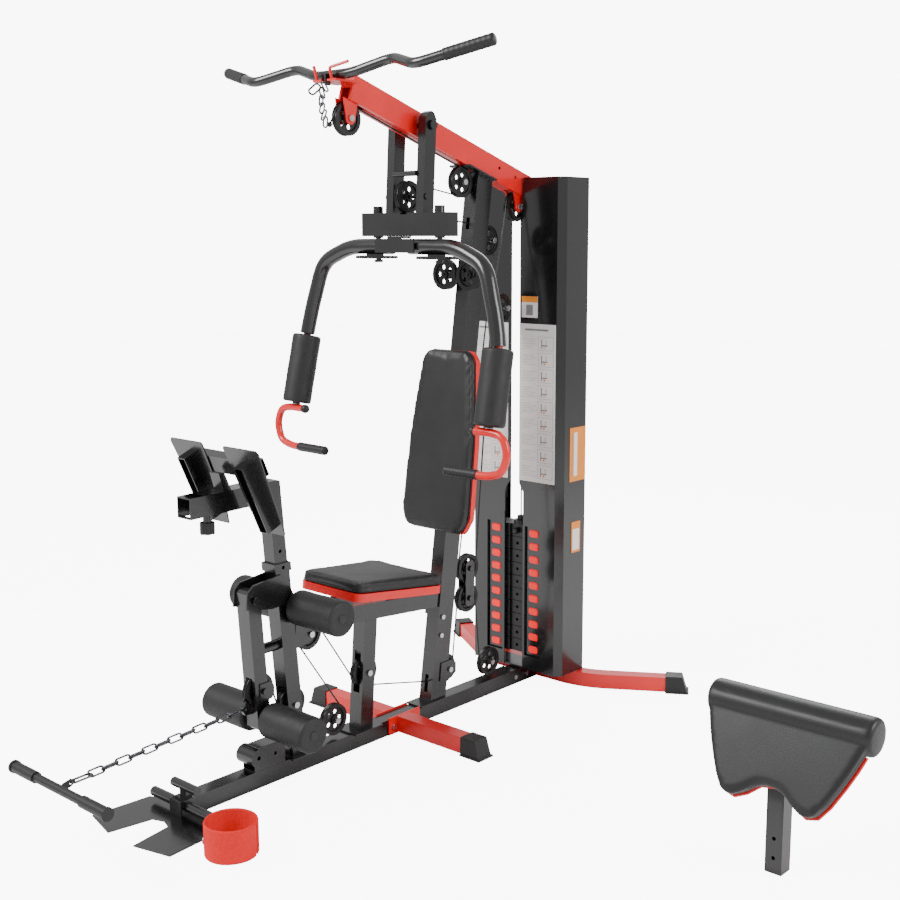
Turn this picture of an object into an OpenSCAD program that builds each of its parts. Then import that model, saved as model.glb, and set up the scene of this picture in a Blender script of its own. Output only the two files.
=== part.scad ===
// Multi station home gym: one weight stack, press and fly arms, leg developer,
// lat bar, row bar, ankle cuff and a separate arm-curl pad.
// Millimetres, +Z up, +Y towards the weight stack, +X to one side.
// Origin: on the floor, under the base rail, below the foot of the main upright.

/* [Frame] */
// Side of the square frame tubes
tube_side = 50; // [48:1:52]
// Wall thickness of the frame tubes
tube_wall = 2.5; // [2:0.5:3]
// Front end of the base rail
rail_front_y = -1060; // [-1080:5:-1040]
// Backward lean of the main upright in degrees
upright_lean = 7.95; // [7.5:0.05:8.4]
// Depth of the main upright's tube, front to back
upright_depth = 70; // [65:1:75]
// Rise of the top boom towards the front in degrees
boom_pitch = 17.9; // [17.4:0.1:18.2]
// Height of the top boom's tube
boom_height = 72; // [70:1:74]

/* [Pulleys] */
// Outer diameter of every cable pulley
pulley_d = 96; // [94:1:98]
// Width of a cable pulley
pulley_w = 20; // [18:1:22]
// Diameter of the steel cable with its coating
cable_d = 5; // [4:0.5:6]

/* [Weight stack] */
// Number of weight plates, the top plate included
plate_count = 10; // [8:1:10]
// Height from one plate to the next
plate_pitch = 45; // [44:0.5:46]
// Width of a weight plate
plate_w = 250; // [240:2:256]

/* [Upholstery] */
// Thickness of the seat cushion
seat_cushion_t = 32; // [28:1:36]
// Thickness of the back cushion
back_cushion_t = 27; // [24:1:32]
// Thickness of the painted board under the seat cushion
seat_board_t = 24; // [20:1:26]
// Thickness of the painted board behind the back cushion
board_t = 20; // [16:1:22]
// Outer diameter of the leg roller foam
roller_d = 100; // [92:1:102]
// Outer diameter of the press arm foam
arm_foam_d = 90; // [84:1:94]

/* [Hidden] */
$fn = 48;
e = 0.01;
half = tube_side / 2;
rail_top = tube_side;
rail_joint_y = -156;
rail_rear_y = 445;
black = [0.11, 0.11, 0.12];
red = [0.90, 0.16, 0.12];
steel = [0.78, 0.78, 0.80];
foam = [0.20, 0.20, 0.21];
vinyl = [0.16, 0.16, 0.17];

// ---- placing and shape helpers ----
function rad_at(c, r, a) = [c[0], c[1] + r * cos(a), c[2] + r * sin(a)];
function unit(v) = v / norm(v);
module box(x, y, z) {
    translate([x[0], y[0], z[0]]) cube([x[1] - x[0], y[1] - y[0], z[1] - z[0]]);
}
// A flat outline in the Y-Z plane, extruded along X from x[0] to x[1]
module side_plate(x, outline) {
    translate([x[0], 0, 0]) rotate([90, 0, 90]) linear_extrude(x[1] - x[0]) polygon(outline);
}
// A round bar along X through the point (y, z)
module bar_x(x, y, z, r) {
    translate([x[0], y, z]) rotate([0, 90, 0]) cylinder(r = r, h = x[1] - x[0]);
}
module bar_y(x, y, z, r) {
    translate([x, y[1], z]) rotate([90, 0, 0]) cylinder(r = r, h = y[1] - y[0]);
}
module bar_z(x, y, z, r) {
    translate([x, y, z[0]]) cylinder(r = r, h = z[1] - z[0]);
}
module both_sides() {
    children();
    mirror([1, 0, 0]) children();
}
// Open-ended rectangular tube along Z, centred on its axis
module tube_z(w, d, h) {
    difference() {
        translate([-w / 2, -d / 2, 0]) cube([w, d, h]);
        translate([-w / 2 + tube_wall, -d / 2 + tube_wall, -e])
            cube([w - 2 * tube_wall, d - 2 * tube_wall, h + 2 * e]);
    }
}
// Rings of points carried along a path, with no twist about it
function path_dir(p, i) =
    let (a = p[max(i - 1, 0)], b = p[min(i + 1, len(p) - 1)]) unit(b - a);
function ring_side(d, up) = unit(cross(d, up));
module swept_rod(path, r, sides = 12, up = [0, 0, 1]) {
    n = len(path);
    pts = [
        for (i = [0 : n - 1])
            let (d = path_dir(path, i), u = ring_side(d, up), v = cross(d, u))
                for (k = [0 : sides - 1])
                    path[i] + r * (cos(360 * k / sides) * u + sin(360 * k / sides) * v)
    ];
    walls = [
        for (i = [0 : n - 2]) for (k = [0 : sides - 1])
            let (a = i * sides + k, b = i * sides + (k + 1) % sides)
                each [[a, a + sides, b + sides], [a, b + sides, b]]
    ];
    first = [for (k = [0 : sides - 1]) k];
    last = [for (k = [sides - 1 : -1 : 0]) (n - 1) * sides + k];
    polyhedron(points = pts, faces = concat([first], walls, [last]), convexity = 8);
}
// A path with its corners rounded by quadratic curves that start t before each corner
function lerp(a, b, t) = a + (b - a) * t;
function rounded(p, t, steps = 6) = concat(
    [p[0]],
    [
        for (i = [1 : len(p) - 2])
            let (
                a = p[i] + unit(p[i - 1] - p[i]) * t,
                b = p[i] + unit(p[i + 1] - p[i]) * t
            )
                for (k = [0 : steps])
                    let (s = k / steps)
                        lerp(lerp(a, p[i], s), lerp(p[i], b, s), s)
    ],
    [p[len(p) - 1]]
);

// ---- main lines of the frame ----
upright_foot_y = -104;
function upright_y(z) = upright_foot_y + tan(upright_lean) * (z - rail_top);
upright_run = upright_depth / cos(upright_lean);
boom_front = [-388, 1960];
boom_rear_y = 400;
function boom_top(y) = boom_front[1] - tan(boom_pitch) * (y - boom_front[0]);
boom_drop = boom_height / cos(boom_pitch);
function boom_under(y) = boom_top(y) - boom_drop;
seat_slope = 5;
seat_post_foot_y = -386;
seat_post_top_y = -360;
function seat_rail_top(y) = 434 - tan(seat_slope) * (y + 337);
dev_lean = 4.9;
function dev_y(z) = -650 - tan(dev_lean) * (z - rail_top);

// ---- cable pulleys: centres and how the cables run round them ----
groove_r = pulley_d / 2 - 5;
groove_floor = groove_r - cable_d / 2 - 0.8;
axle_r = 5;
bore_r = 5.05;
P_BOOM_FRONT = [0, -405, 1842];
P_UPRIGHT_TOP = [0, 72, 1683];
P_BEHIND_HIGH = [0, 197, 1505];
P_BEHIND_LOW = [0, 266, 1288];
P_PRESS = [0, -163, 1633];
P_BOOM_REAR = [0, 337, 1613];
P_FLOAT_UPPER = [0, 99, 451];
P_FLOAT_LOWER = [0, 96, 352];
P_REAR_RAIL = [0, 206, 108];
P_UPRIGHT_FOOT = [0, -16, 142];
P_SEAT_POST = [0, -372, 223];
P_FRONT_BASE = [0, -498, 108];
P_DEVELOPER = [0, -592, 395];
P_DEV_FOOT = [0, -661, 205];
P_LEVER = [0, -776, 277];
module pulley() {
    r = pulley_d / 2;
    w = pulley_w / 2;
    rotate([0, 90, 0]) difference() {
        rotate_extrude($fn = 96)
            polygon([
                [bore_r, -w], [12, -w], [14, -3], [r - 14, -3], [r - 12, -w + 1], [r, -w + 1],
                [groove_floor, -3.2], [groove_floor, 3.2],
                [r, w - 1], [r - 12, w - 1], [r - 14, 3], [14, 3], [12, w], [bore_r, w]
            ]);
        for (k = [0 : 4])
            rotate([0, 0, 72 * k + 18]) translate([(r - 14 + 14) / 2 - 0.5, 0, -w])
                cylinder(r = 7.5, h = 2 * w);
    }
}
module pulley_at(c) {
    color(black) translate(c) pulley();
}
module axle(c, x_half) {
    bar_x([-x_half, x_half], c[1], c[2], axle_r);
    for (s = [-1, 1])
        bar_x([s * x_half - 3, s * x_half + 3], c[1], c[2], 9);
}
// Heading of a straight cable run between two pulleys; s is +1 where the cable goes
// anticlockwise about +X and -1 where it goes clockwise
function heading(a, sa, b, sb) =
    let (v = b - a, d = norm(v), phi = atan2(v[2], v[1]))
        phi - asin(groove_r * (sb - sa) / d);
function arc_points(c, s, h_in, h_out) =
    let (
        a0 = h_in - 90 * s,
        turn = s > 0 ? (h_out - h_in + 720) % 360 : -((h_in - h_out + 720) % 360),
        n = max(2, ceil(abs(turn) / 15))
    )
        [for (k = [0 : n]) rad_at(c, groove_r, a0 + turn * k / n)];
// stops is a list of [centre, sense]; first and last are plain end points
function cable_route(start, stops, finish) =
    let (
        n = len(stops),
        v0 = stops[0][0] - start,
        d0 = norm(v0),
        h_first = atan2(v0[2], v0[1]) - asin(groove_r * stops[0][1] / d0),
        v1 = finish - stops[n - 1][0],
        d1 = norm(v1),
        h_last = atan2(v1[2], v1[1]) + asin(groove_r * stops[n - 1][1] / d1),
        h = concat(
            [h_first],
            [
                for (i = [0 : 1 : n - 2])
                    heading(stops[i][0], stops[i][1], stops[i + 1][0], stops[i + 1][1])
            ],
            [h_last]
        )
    )
        concat(
            [start],
            [for (i = [0 : n - 1]) each arc_points(stops[i][0], stops[i][1], h[i], h[i + 1])],
            [finish]
        );
module cable(route) {
    color(black) swept_rod(route, cable_d / 2, 8, [1, 0, 0]);
}

// ---- base ----
module rail(y) {
    difference() {
        box([-half, half], y, [0, rail_top]);
        box([-half + tube_wall, half - tube_wall], [y[0] - e, y[1] + e],
            [tube_wall, rail_top - tube_wall]);
    }
}
module front_rail() {
    color(black) difference() {
        rail([rail_front_y, rail_joint_y - 0.5]);
        foot_bar_bore();
        for (y = [-275, -175])
            bar_x([-half - e, half + e], y, 25, 6);
    }
}
module foot_bar_bore() {
    bar_x([-half - e, half + e], rail_front_y + 20, 30, 13.6);
}
module rear_rail() {
    color(black) difference() {
        rail([rail_joint_y, rail_rear_y]);
        for (y = [320, 380])
            bar_x([-half - e, half + e], y, 25, 6);
    }
}
// Two splayed floor plates at the nose, with a long cross bar and a short upper bar
module foot_rest() {
    color(black) {
        both_sides()
            linear_extrude(4)
                polygon([[0, rail_front_y - 4.2], [0, -1100], [34, -1112], [56, -1233],
                    [172, -1205], [158, -1035], [60, -985], [half + 0.3, -985],
                    [half + 0.3, rail_front_y - 4.2]]);
        bar_x([-128, 128], rail_front_y + 20, 30, 13.5);
        bar_x([-52, 52], rail_front_y + 32, 76, 12.5);
        box([-14, 14], [rail_front_y + 22, rail_front_y + 42], [rail_top, 72]);
    }
}
front_foot_y = -235;
module front_stabilizer() {
    color(red) both_sides() {
        difference() {
            box([half + 0.2, half + 5], [-295, rail_joint_y - 2], [1, 56]);
            for (y = [-275, -175])
                bar_x([half, half + 6], y, 25, 6);
        }
        difference() {
            box([half + 5, 330], [front_foot_y - 25, front_foot_y + 25], [5, 55]);
            box([half + 8, 331], [front_foot_y - 22.5, front_foot_y + 22.5], [7.5, 52.5]);
        }
        box([120, 126], [front_foot_y - 12, front_foot_y + 12], [1, 5.2]);
    }
}
// Each back foot: straight out from the rail, swept back on an arc, then straight again
sweep_r = 260;
sweep_a = 32;
sweep_c = [130, 432 + tube_side + sweep_r];
function sweep_pt(r, a, along = 0) =
    [sweep_c[0] + r * sin(a) + along * cos(a), sweep_c[1] - r * cos(a) + along * sin(a)];
module rear_foot_outline() {
    outer = sweep_r + tube_side;
    right = concat(
        [for (k = [0 : 8]) sweep_pt(outer, sweep_a * k / 8)],
        [sweep_pt(outer, sweep_a, 235), sweep_pt(sweep_r, sweep_a, 235)],
        [for (k = [8 : -1 : 0]) sweep_pt(sweep_r, sweep_a * k / 8)]
    );
    left = [for (k = [len(right) - 1 : -1 : 0]) [-right[k][0], right[k][1]]];
    polygon(concat(right, left));
}
module rear_stabilizer() {
    color(red) difference() {
        translate([0, 0, 3]) linear_extrude(tube_side) rear_foot_outline();
        box([-half - 0.2, half + 0.2], [400, rail_rear_y + 0.3], [-1, rail_top + 0.3]);
        both_sides()
            translate([130, 432 + tube_side + sweep_r, 3 + tube_wall]) rotate(sweep_a)
                translate([60, -sweep_r - tube_side + tube_wall, 0])
                    cube([200, tube_side - 2 * tube_wall, tube_side - 2 * tube_wall]);
    }
}
module foot_cap() {
    // plastic boot over a tube end that points along +X: sloping end face and a wider sole
    difference() {
        union() {
            hull() {
                translate([-36, -29.5, 5]) cube([72, 59, 1]);
                translate([-36, -28, 57]) cube([56, 56, 1]);
            }
            translate([-36, -33, 0]) cube([78, 66, 6]);
        }
        box([-100, 0], [-25.3, 25.3], [2.6, 55.4]);
    }
}
module end_caps() {
    color(black) {
        both_sides() translate([330, front_foot_y, 0]) foot_cap();
        both_sides()
            translate([130, 432 + tube_side + sweep_r, 0]) rotate(sweep_a)
                translate([235, -sweep_r - tube_side / 2, 0]) foot_cap();
        difference() {
            box([-half + 2.7, half - 2.7], [rail_front_y - 3, rail_front_y + 5],
                [2.7, rail_top - 2.7]);
            bar_x([-30, 30], rail_front_y + 20, 30, 14);
        }
        box([-half, half], [rail_front_y - 3.5, rail_front_y - 0.2], [0.5, rail_top]);
    }
}

// ---- uprights ----
module upright_outline(grow, z0, z1) {
    polygon([
        [upright_y(z0) + grow, z0], [upright_y(z1) + grow, z1],
        [upright_y(z1) + upright_run - grow, z1], [upright_y(z0) + upright_run - grow, z0]
    ]);
}
module upright_solid(grow, z0, z1) {
    w = half - grow;
    translate([-w, 0, 0]) rotate([90, 0, 90]) linear_extrude(2 * w)
        upright_outline(grow, z0, z1);
}
module boom_space(clear) {
    // everything from the boom's underside upwards, used to cut tubes to fit
    side_plate([-100, 100], [
        [-600, boom_under(-600) - clear], [600, boom_under(600) - clear], [600, 2400],
        [-600, 2400]
    ]);
}
module main_upright() {
    color(black) {
        difference() {
            upright_solid(0, rail_top + 5, 1745);
            upright_solid(tube_wall, rail_top + 5 - e, 1746);
            boom_space(6.2);
            // slots that the low cable, its pulley and the top cable run through
            box([-7, 7], [-160, -40], [82, 138]);
            box([-13, 13], [-50, 40], [82, 200]);
            box([-7, 7], [60, 240], [1540, 1576]);
            box([-12, 12], [138, 240], [1453, 1562]);
            for (z = [264, 323])
                bar_x([-half - e, half + e], upright_y(z) + 20, z, 5.2);
            bar_x([-half - e, half + e], P_UPRIGHT_FOOT[1], P_UPRIGHT_FOOT[2], 5.3);
        }
        difference() {
            box([-half - 8, half + 8], [rail_joint_y + 2, 0], [rail_top + 0.2, rail_top + 5]);
            box([-10, 10], [-100, -40], [0, rail_top + 6]);
        }
        intersection() {
            side_plate([-44, 44], [
                [70, boom_under(70) - 6.2], [196, boom_under(196) - 6.2],
                [196, boom_under(196) - 0.3], [70, boom_under(70) - 0.3]
            ]);
            difference() {
                box([-44, 44], [0, 300], [1500, 1800]);
                box([-13, 13], [0, 130], [1400, 1900]);
            }
        }
        both_sides() difference() {
            side_plate([half, half + 4], [[-62, 112], [-8, 112], [14, 128], [14, 158], [-8, 172],
                [-54, 172]]);
            bar_x([half - 1, half + 5], P_UPRIGHT_FOOT[1], P_UPRIGHT_FOOT[2], 5.3);
        }
    }
}
function seat_post_y(z) =
    seat_post_foot_y + (seat_post_top_y - seat_post_foot_y) * (z - rail_top) / 390;
module seat_frame() {
    color(black) {
        // leaning post
        difference() {
            side_plate([-half, half], [
                [seat_post_y(55.2) - half, 55.2], [-385, seat_rail_top(-385) - 50.2],
                [-335, seat_rail_top(-335) - 50.2], [seat_post_y(55.2) + half, 55.2]
            ]);
            side_plate([-half + tube_wall, half - tube_wall], [
                [seat_post_y(54) - half + tube_wall, 54], [-385 + tube_wall, 378],
                [-335 - tube_wall, 378], [seat_post_y(54) + half - tube_wall, 54]
            ]);
            box([-13, 13], [-440, -300], [165, 292]);
            bar_x([-half - 10, half + 10], P_SEAT_POST[1], P_SEAT_POST[2], 5.3);
        }
        // rail under the seat, from the front post back to the upright
        difference() {
            side_plate([-half, half], [
                [-655, seat_rail_top(-655) - 50], [-655, seat_rail_top(-655)],
                [upright_y(410) - 4.2, seat_rail_top(upright_y(410) - 4)],
                [upright_y(360) - 4.2, seat_rail_top(upright_y(360) - 4) - 50]
            ]);
            side_plate([-half + tube_wall, half - tube_wall], [
                [-660, seat_rail_top(-660) - 47.5], [-660, seat_rail_top(-660) - 2.5],
                [-70, seat_rail_top(-70) - 2.5], [-70, seat_rail_top(-70) - 47.5]
            ]);
            box([-17.6, 17.6], [-660, -515], [380, 420]);
        }
        box([-45, 45], [-450, -335], [rail_top + 0.2, 55]);
        side_plate([-30, 30], [
            [upright_y(330) - 4, 330], [upright_y(440) - 4, 440],
            [upright_y(440) - 0.2, 440], [upright_y(330) - 0.2, 330]
        ]);
        // folded brackets that carry the seat board
        for (y = [-455, -225]) {
            side_plate([-62, 62], [
                [y - 25, seat_under(y - 25) - 5], [y + 25, seat_under(y + 25) - 5],
                [y + 25, seat_under(y + 25) - 0.3], [y - 25, seat_under(y - 25) - 0.3]
            ]);
            both_sides() side_plate([17, 22], [
                [y - 25, seat_rail_top(y - 25) + 0.3], [y + 25, seat_rail_top(y + 25) + 0.3],
                [y + 25, seat_under(y + 25) - 4], [y - 25, seat_under(y - 25) - 4]
            ]);
        }
    }
}
// Front post with its socket, the forward ears for the leg lever and the roller tube
lever_pivot = [0, -802, 542];
roller_up = [0, -652, 492];
module developer_post() {
    color(black) {
        difference() {
            union() {
                side_plate([-half, half], [
                    [dev_y(55.2) - half, 55.2], [dev_y(628) - half, 628],
                    [dev_y(628) + half, 628], [dev_y(55.2) + half, 55.2]
                ]);
                // rolled rim of the socket
                side_plate([-half - 4, half + 4], [
                    [dev_y(602) - half - 4, 602], [dev_y(626) - half - 4, 626],
                    [dev_y(626) + half + 4, 626], [dev_y(602) + half + 4, 602]
                ]);
                // roller tube saddle
                side_plate([-20, 20], [
                    [dev_y(520) + half - 2, 515], [roller_up[1] + 4, 510],
                    [roller_up[1] + 4, 474], [dev_y(470) + half - 2, 462]
                ]);
            }
            side_plate([-half + tube_wall, half - tube_wall], [
                [dev_y(54) - half + tube_wall, 54], [dev_y(629) - half + tube_wall, 629],
                [dev_y(629) + half - tube_wall, 629], [dev_y(54) + half - tube_wall, 54]
            ]);
            box([-13, 13], [-740, -590], [118, 262]);
            bar_x([-60, 60], roller_up[1], roller_up[2], 12.55);
            bar_x([-60, 60], P_DEV_FOOT[1], P_DEV_FOOT[2], 5.3);
            bar_x([-60, 60], dev_y(610), 614, 5.2);
        }
        // ears that carry the leg lever
        both_sides() difference() {
            side_plate([half + 0.3, half + 5.3], [
                [-831, 520], [-826, 566], [-806, 584], [dev_y(596) - 10, 596],
                [dev_y(510) + 12, 510], [-742, 505]
            ]);
            bar_x([0, 60], lever_pivot[1], lever_pivot[2], 6.2);
        }
        box([-45, 45], [dev_y(50) - 42, dev_y(50) + 42], [rail_top + 0.2, 55]);
        bar_x([-209.5, 209.5], roller_up[1], roller_up[2], 12.5);
        // pulley ears behind the post
        both_sides() difference() {
            side_plate([13, 17], [
                [dev_y(420) + half + 0.3, 420], [-600, 420], [-575, 408], [-575, 384],
                [-600, 370], [dev_y(366) + half + 0.3, 366]
            ]);
            bar_x([10, 18], P_DEVELOPER[1], P_DEVELOPER[2], 5.3);
        }
        // stop tube between the post and the lever
        bar_y(0, [-765.5, dev_y(404) - half - 0.5], 388, 15);
    }
}

// ---- top boom ----
module boom_frame() {
    translate([0, boom_front[0], boom_front[1]]) rotate([-boom_pitch, 0, 0]) children();
}
boom_len = (boom_rear_y - boom_front[0]) / cos(boom_pitch);
press_pivot = [0, -138, 1838];
module hook(x, side_run) {
    swept_rod(rounded(concat(
        [[x, -474, 1938], [x - 4, -480, 1972]],
        side_run == 0 ? [[x - 6, -482, 1980]] : [[x + side_run, -472, 1984]]), 6, 3), 4.5, 10,
        [0.3, 1, 0]);
}
module boom_ears(c, x_in, drop_from) {
    both_sides() difference() {
        side_plate([x_in, x_in + 4], [
            [c[1] - 26, drop_from - 0.3 + 26 * tan(boom_pitch)],
            [c[1] + 26, drop_from - 0.3 - 26 * tan(boom_pitch)],
            [c[1] + 17, c[2] - 8], [c[1] + 6, c[2] - 17], [c[1] - 8, c[2] - 17],
            [c[1] - 17, c[2] - 8]
        ]);
        bar_x([x_in - 1, x_in + 5], c[1], c[2], 5.3);
    }
}
module top_boom() {
    color(red) {
        difference() {
            boom_frame() difference() {
                translate([-half, 0, -boom_height]) cube([tube_side, boom_len, boom_height]);
                translate([-half + tube_wall, -e, -boom_height + tube_wall])
                    cube([tube_side - 2 * tube_wall, boom_len + 2 * e,
                        boom_height - 2 * tube_wall]);
            }
            bar_x([-40, 40], press_pivot[1], press_pivot[2], 8.05);
            for (p = [[230, 1731], [309, 1705]])
                bar_x([-40, 40], p[0], p[1], 5.2);
            // slots in the underside for the two pulleys and the cable
            box([-13, 13], [-475, -340], [1830, 1925]);
            box([-13, 13], [290, 385], [1590, 1690]);
            bar_x([-40, 40], P_BOOM_FRONT[1], P_BOOM_FRONT[2], 5.3);
        }
        // end plate and the shelf that the lat bar lies on
        boom_frame() translate([-half + 0.5, -4, -boom_height + 0.5]) difference() {
            cube([tube_side - 1, 5, boom_height - 1]);
            translate([half - 16.5, -1, -1]) cube([32, 7, 36]);
        }
        difference() {
            box([-46, 46], [-486, -392], [1935.5, 1941.5]);
            box([-11, 11], [-490, -455], [1930, 1945]);
        }
        hook(-40, 0);
        hook(20, 62);
        boom_ears(P_BOOM_FRONT, 14, boom_under(P_BOOM_FRONT[1]));
        boom_ears(P_BOOM_REAR, 14, boom_under(P_BOOM_REAR[1]));
    }
}

// ---- weight stack ----
rod_x = 95;
rod_y = 380;
plate_y = [353, 420];
notch_y = 361;
stack_z0 = 60;
function plate_z(i) = stack_z0 + 44 + i * plate_pitch;
plate_t = plate_pitch - 2;
lead = plate_count - 1;
module plate_solid(i, t) {
    difference() {
        union() {
            box([-plate_w / 2, plate_w / 2], plate_y, [plate_z(i), plate_z(i) + t]);
        }
        for (s = [-1, 1])
            bar_z(s * rod_x, rod_y, [plate_z(i) - 1, plate_z(i) + t + 1], 10.5);
        bar_z(0, rod_y, [plate_z(i) - 1, plate_z(i) + t + 1], 16);
        box([-27, 27], [plate_y[0] - 1, notch_y], [plate_z(i) - 1, plate_z(i) + t + 1]);
        bar_y(0, [rod_y - 90, rod_y + 70], plate_z(i) + t / 2, 5.5);
    }
}
module weight_plates() {
    color(black) for (i = [0 : lead - 1])
        plate_solid(i, plate_t);
}
stem_r = 13;
module top_plate() {
    z0 = plate_z(lead);
    z1 = z0 + plate_t;
    color(black) {
        difference() {
            box([-plate_w / 2, plate_w / 2], plate_y, [z0, z1]);
            for (s = [-1, 1])
                bar_z(s * rod_x, rod_y, [z0 - 1, z1 + 1], 10.5);
            bar_z(0, rod_y, [z0 - 1, z1 + 1], stem_r + 0.05);
            box([-27, 27], [plate_y[0] - 1, notch_y], [z0 - 1, z1 + 1]);
            bar_y(0, [rod_y - 90, rod_y + 70], z0 + plate_t / 2, 5.5);
        }
        // stem down through the plates, with a hole for the pin at each one
        difference() {
            bar_z(0, rod_y, [plate_z(0) + 4, z1 + 28], stem_r);
            for (i = [0 : lead])
                bar_y(0, [rod_y - 90, rod_y + 70], plate_z(i) + plate_t / 2, 5.5);
            bar_z(0, rod_y, [z1 + 12, z1 + 29], 3.2);
        }
        difference() {
            bar_z(0, rod_y, [z1 + 0.2, z1 + 14], 24);
            bar_z(0, rod_y, [z1 - 1, z1 + 15], stem_r + 0.05);
        }
    }
}
// Locking pin through the top plate and the stem
module selector_pin() {
    z = plate_z(lead) + plate_t / 2;
    color(black) {
        bar_y(0, [notch_y - 6, rod_y + 36], z, 5);
        translate([0, notch_y - 0.5, z]) rotate([90, 0, 0])
            rotate_extrude($fn = 64)
                polygon([[0, 0], [9, 0], [10.5, 3], [10.5, 14], [7.5, 18], [0, 18]]);
    }
}
rod_top = boom_top(boom_rear_y) - 50;
module guide_rods() {
    color(steel) both_sides() bar_z(rod_x, rod_y, [stack_z0 + 6, rod_top - 12], 9.5);
}
module stack_frame() {
    color(black) {
        // floor tray on the rail, two rubber seats, and the header above the rods
        difference() {
            box([-150, 150], [343, 430], [rail_top + 4, rail_top + 10.2]);
            both_sides() bar_z(rod_x, rod_y, [40, 80], 5);
        }
        both_sides() difference() {
            bar_z(rod_x, rod_y, [rail_top + 10, plate_z(0) - 1], 21);
            bar_z(rod_x, rod_y, [rail_top + 15.8, plate_z(0)], 9.7);
        }
        difference() {
            both_sides() difference() {
                box([27, 160], [rod_y - 20, rod_y + 20], [rod_top - 34, rod_top + 2]);
                box([26, 158], [rod_y - 18, rod_y + 18], [rod_top - 32, rod_top]);
                bar_z(rod_x, rod_y, [rod_top - 40, rod_top - 20], 9.7);
            }
        }
        both_sides() box([25.3, 27.3], [rod_y - 30, rod_y + 14], [rod_top - 34, rod_top + 34]);
    }
}
// Tall folded-sheet covers either side of the stack
shroud_top = 1705;
shroud_w = 195;
// front panel, bevel and side panel of the cover on the +X side, seen from above
shroud_line = [[22, 340], [174, 340], [shroud_w, 363], [shroud_w, 478], [166, 508], [150, 508]];
module shroud_sheet(t) {
    polygon(concat(shroud_line, [
        [150, 508 - t], [166 - t / 2, 508 - t], [shroud_w - t, 478 - t / 2],
        [shroud_w - t, 363 + t / 2], [174 - t / 2, 340 + t], [22, 340 + t]
    ]));
}
module shroud_half() {
    difference() {
        union() {
            translate([0, 0, rail_top + 5]) linear_extrude(shroud_top - rail_top - 5)
                shroud_sheet(2.5);
            box([22, 24.5], [342, 351], [700, shroud_top]);
            // closed head with folded edge
            translate([0, 0, shroud_top - 3]) linear_extrude(3)
                polygon([
                    [28, 340], [174, 340], [shroud_w, 363], [shroud_w, 478], [166, 508],
                    [28, 508]
                ]);
        }
        // tall window over the plates
        box([48, 117], [330, 345], [104, 556]);
        // wider gap low down, with a sloped shoulder
        side_plate_front([[0, 40], [40, 40], [40, 671], [22, 700], [0, 700]]);
        side_plate_front([[0, 1640], [22, 1640], [34, 1660], [34, 1720], [0, 1720]]);
        box([-1, 28], [330, 530], [1600, 1720]);
        for (z = [690, 1650])
            bar_y(120, [330, 360], z, 2.6);
        bar_x([190, 200], 470, 1690, 3);
        bar_x([190, 200], 470, 75, 3);
    }
}
// A cutter with the given X-Z outline, run through the covers' front panels
module side_plate_front(outline) {
    translate([0, 370, 0]) rotate([90, 0, 0]) linear_extrude(40) polygon(outline);
}
// Red marker lozenges, one for each plate, on a strip inside the window
module marker_strip() {
    for (i = [0 : plate_count - 1])
        translate([82, 347.6, plate_z(i) + plate_t / 2 + 2]) rotate([90, 0, 0])
            linear_extrude(5) polygon([
                [-20, -8], [-14, -13], [14, -13], [20, -8], [20, 8], [14, 13], [-14, 13], [-20, 8]
            ]);
}
module window_back() {
    // dark tray behind the window that the markers are fixed to
    difference() {
        box([43, 122], [342.7, 350], [98, 563]);
        box([46, 119], [342, 348], [101, 560]);
    }
}
module shroud_right() {
    color(black) {
        shroud_half();
        window_back();
    }
}
module shroud_left() {
    color(black) mirror([1, 0, 0]) {
        shroud_half();
        window_back();
    }
}
// Plain instruction boards with blank panels, and the red markers by the plates
module board_rows(x, z) {
    for (i = [0 : 8])
        box([x + 10, x + 64], [337.2, 338.3], [z + 26 + i * 54, z + 30 + i * 54]);
    for (i = [0 : 8])
        box([x + 80, x + 112], [337.2, 338.3], [z + 12 + i * 54, z + 54 + i * 54]);
}
module label_panels() {
    color([0.94, 0.94, 0.92]) both_sides() box([26, 172], [338, 339.7], [712, 1236]);
    color([0.35, 0.35, 0.36]) {
        board_rows(30, 716);
        translate([-199, 0, 0]) board_rows(30, 716);
    }
    color([0.94, 0.94, 0.92]) box([31, 97], [338, 339.7], [1256, 1325]);
    color([0.95, 0.55, 0.10]) {
        box([shroud_w + 0.3, shroud_w + 1.6], [390, 474], [717, 897]);
        box([shroud_w + 0.3, shroud_w + 1.6], [396, 462], [474, 579]);
    }
    color(red) {
        marker_strip();
        mirror([1, 0, 0]) marker_strip();
    }
}

// ---- seat and back ----
module slab(outline_pts, r, t) {
    // a flat panel with rounded corners
    linear_extrude(t) offset(r = r, $fn = 32) offset(delta = -r) polygon(outline_pts);
}
pad_slope = 6.2;
seat_back_y = -175;
seat_pts = [[-126, -338], [126, -338], [154, 0], [-154, 0]];
function seat_under(y) = 453 - tan(pad_slope) * (y - seat_back_y);
module seat_place(dz) {
    translate([0, seat_back_y, 453]) rotate([-pad_slope, 0, 0]) translate([0, 0, dz]) children();
}
module seat_board() {
    color(red) seat_place(0) difference() {
        slab(seat_pts, 30, seat_board_t);
        for (y = [-280, -50])
            for (x = [-40, 40])
                translate([x, y, -1]) cylinder(r = 4.1, h = 12);
    }
}
module seat_cushion() {
    color(vinyl) seat_place(seat_board_t + 0.3) slab(seat_pts, 30, seat_cushion_t);
}
module back_place(d) {
    // the panel lies parallel to the upright's front face, d in front of it
    translate([0, upright_foot_y, rail_top]) rotate([-upright_lean, 0, 0])
        translate([0, -d, 0]) rotate([90, 0, 0]) children();
}
back_low = 556;
back_pts = [
    [-82, 569], [82, 569], [104, 540], [121, 400], [131, 286], [138, 50], [112, 0], [-112, 0],
    [-138, 50], [-131, 286], [-121, 400], [-104, 540]
];
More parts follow.
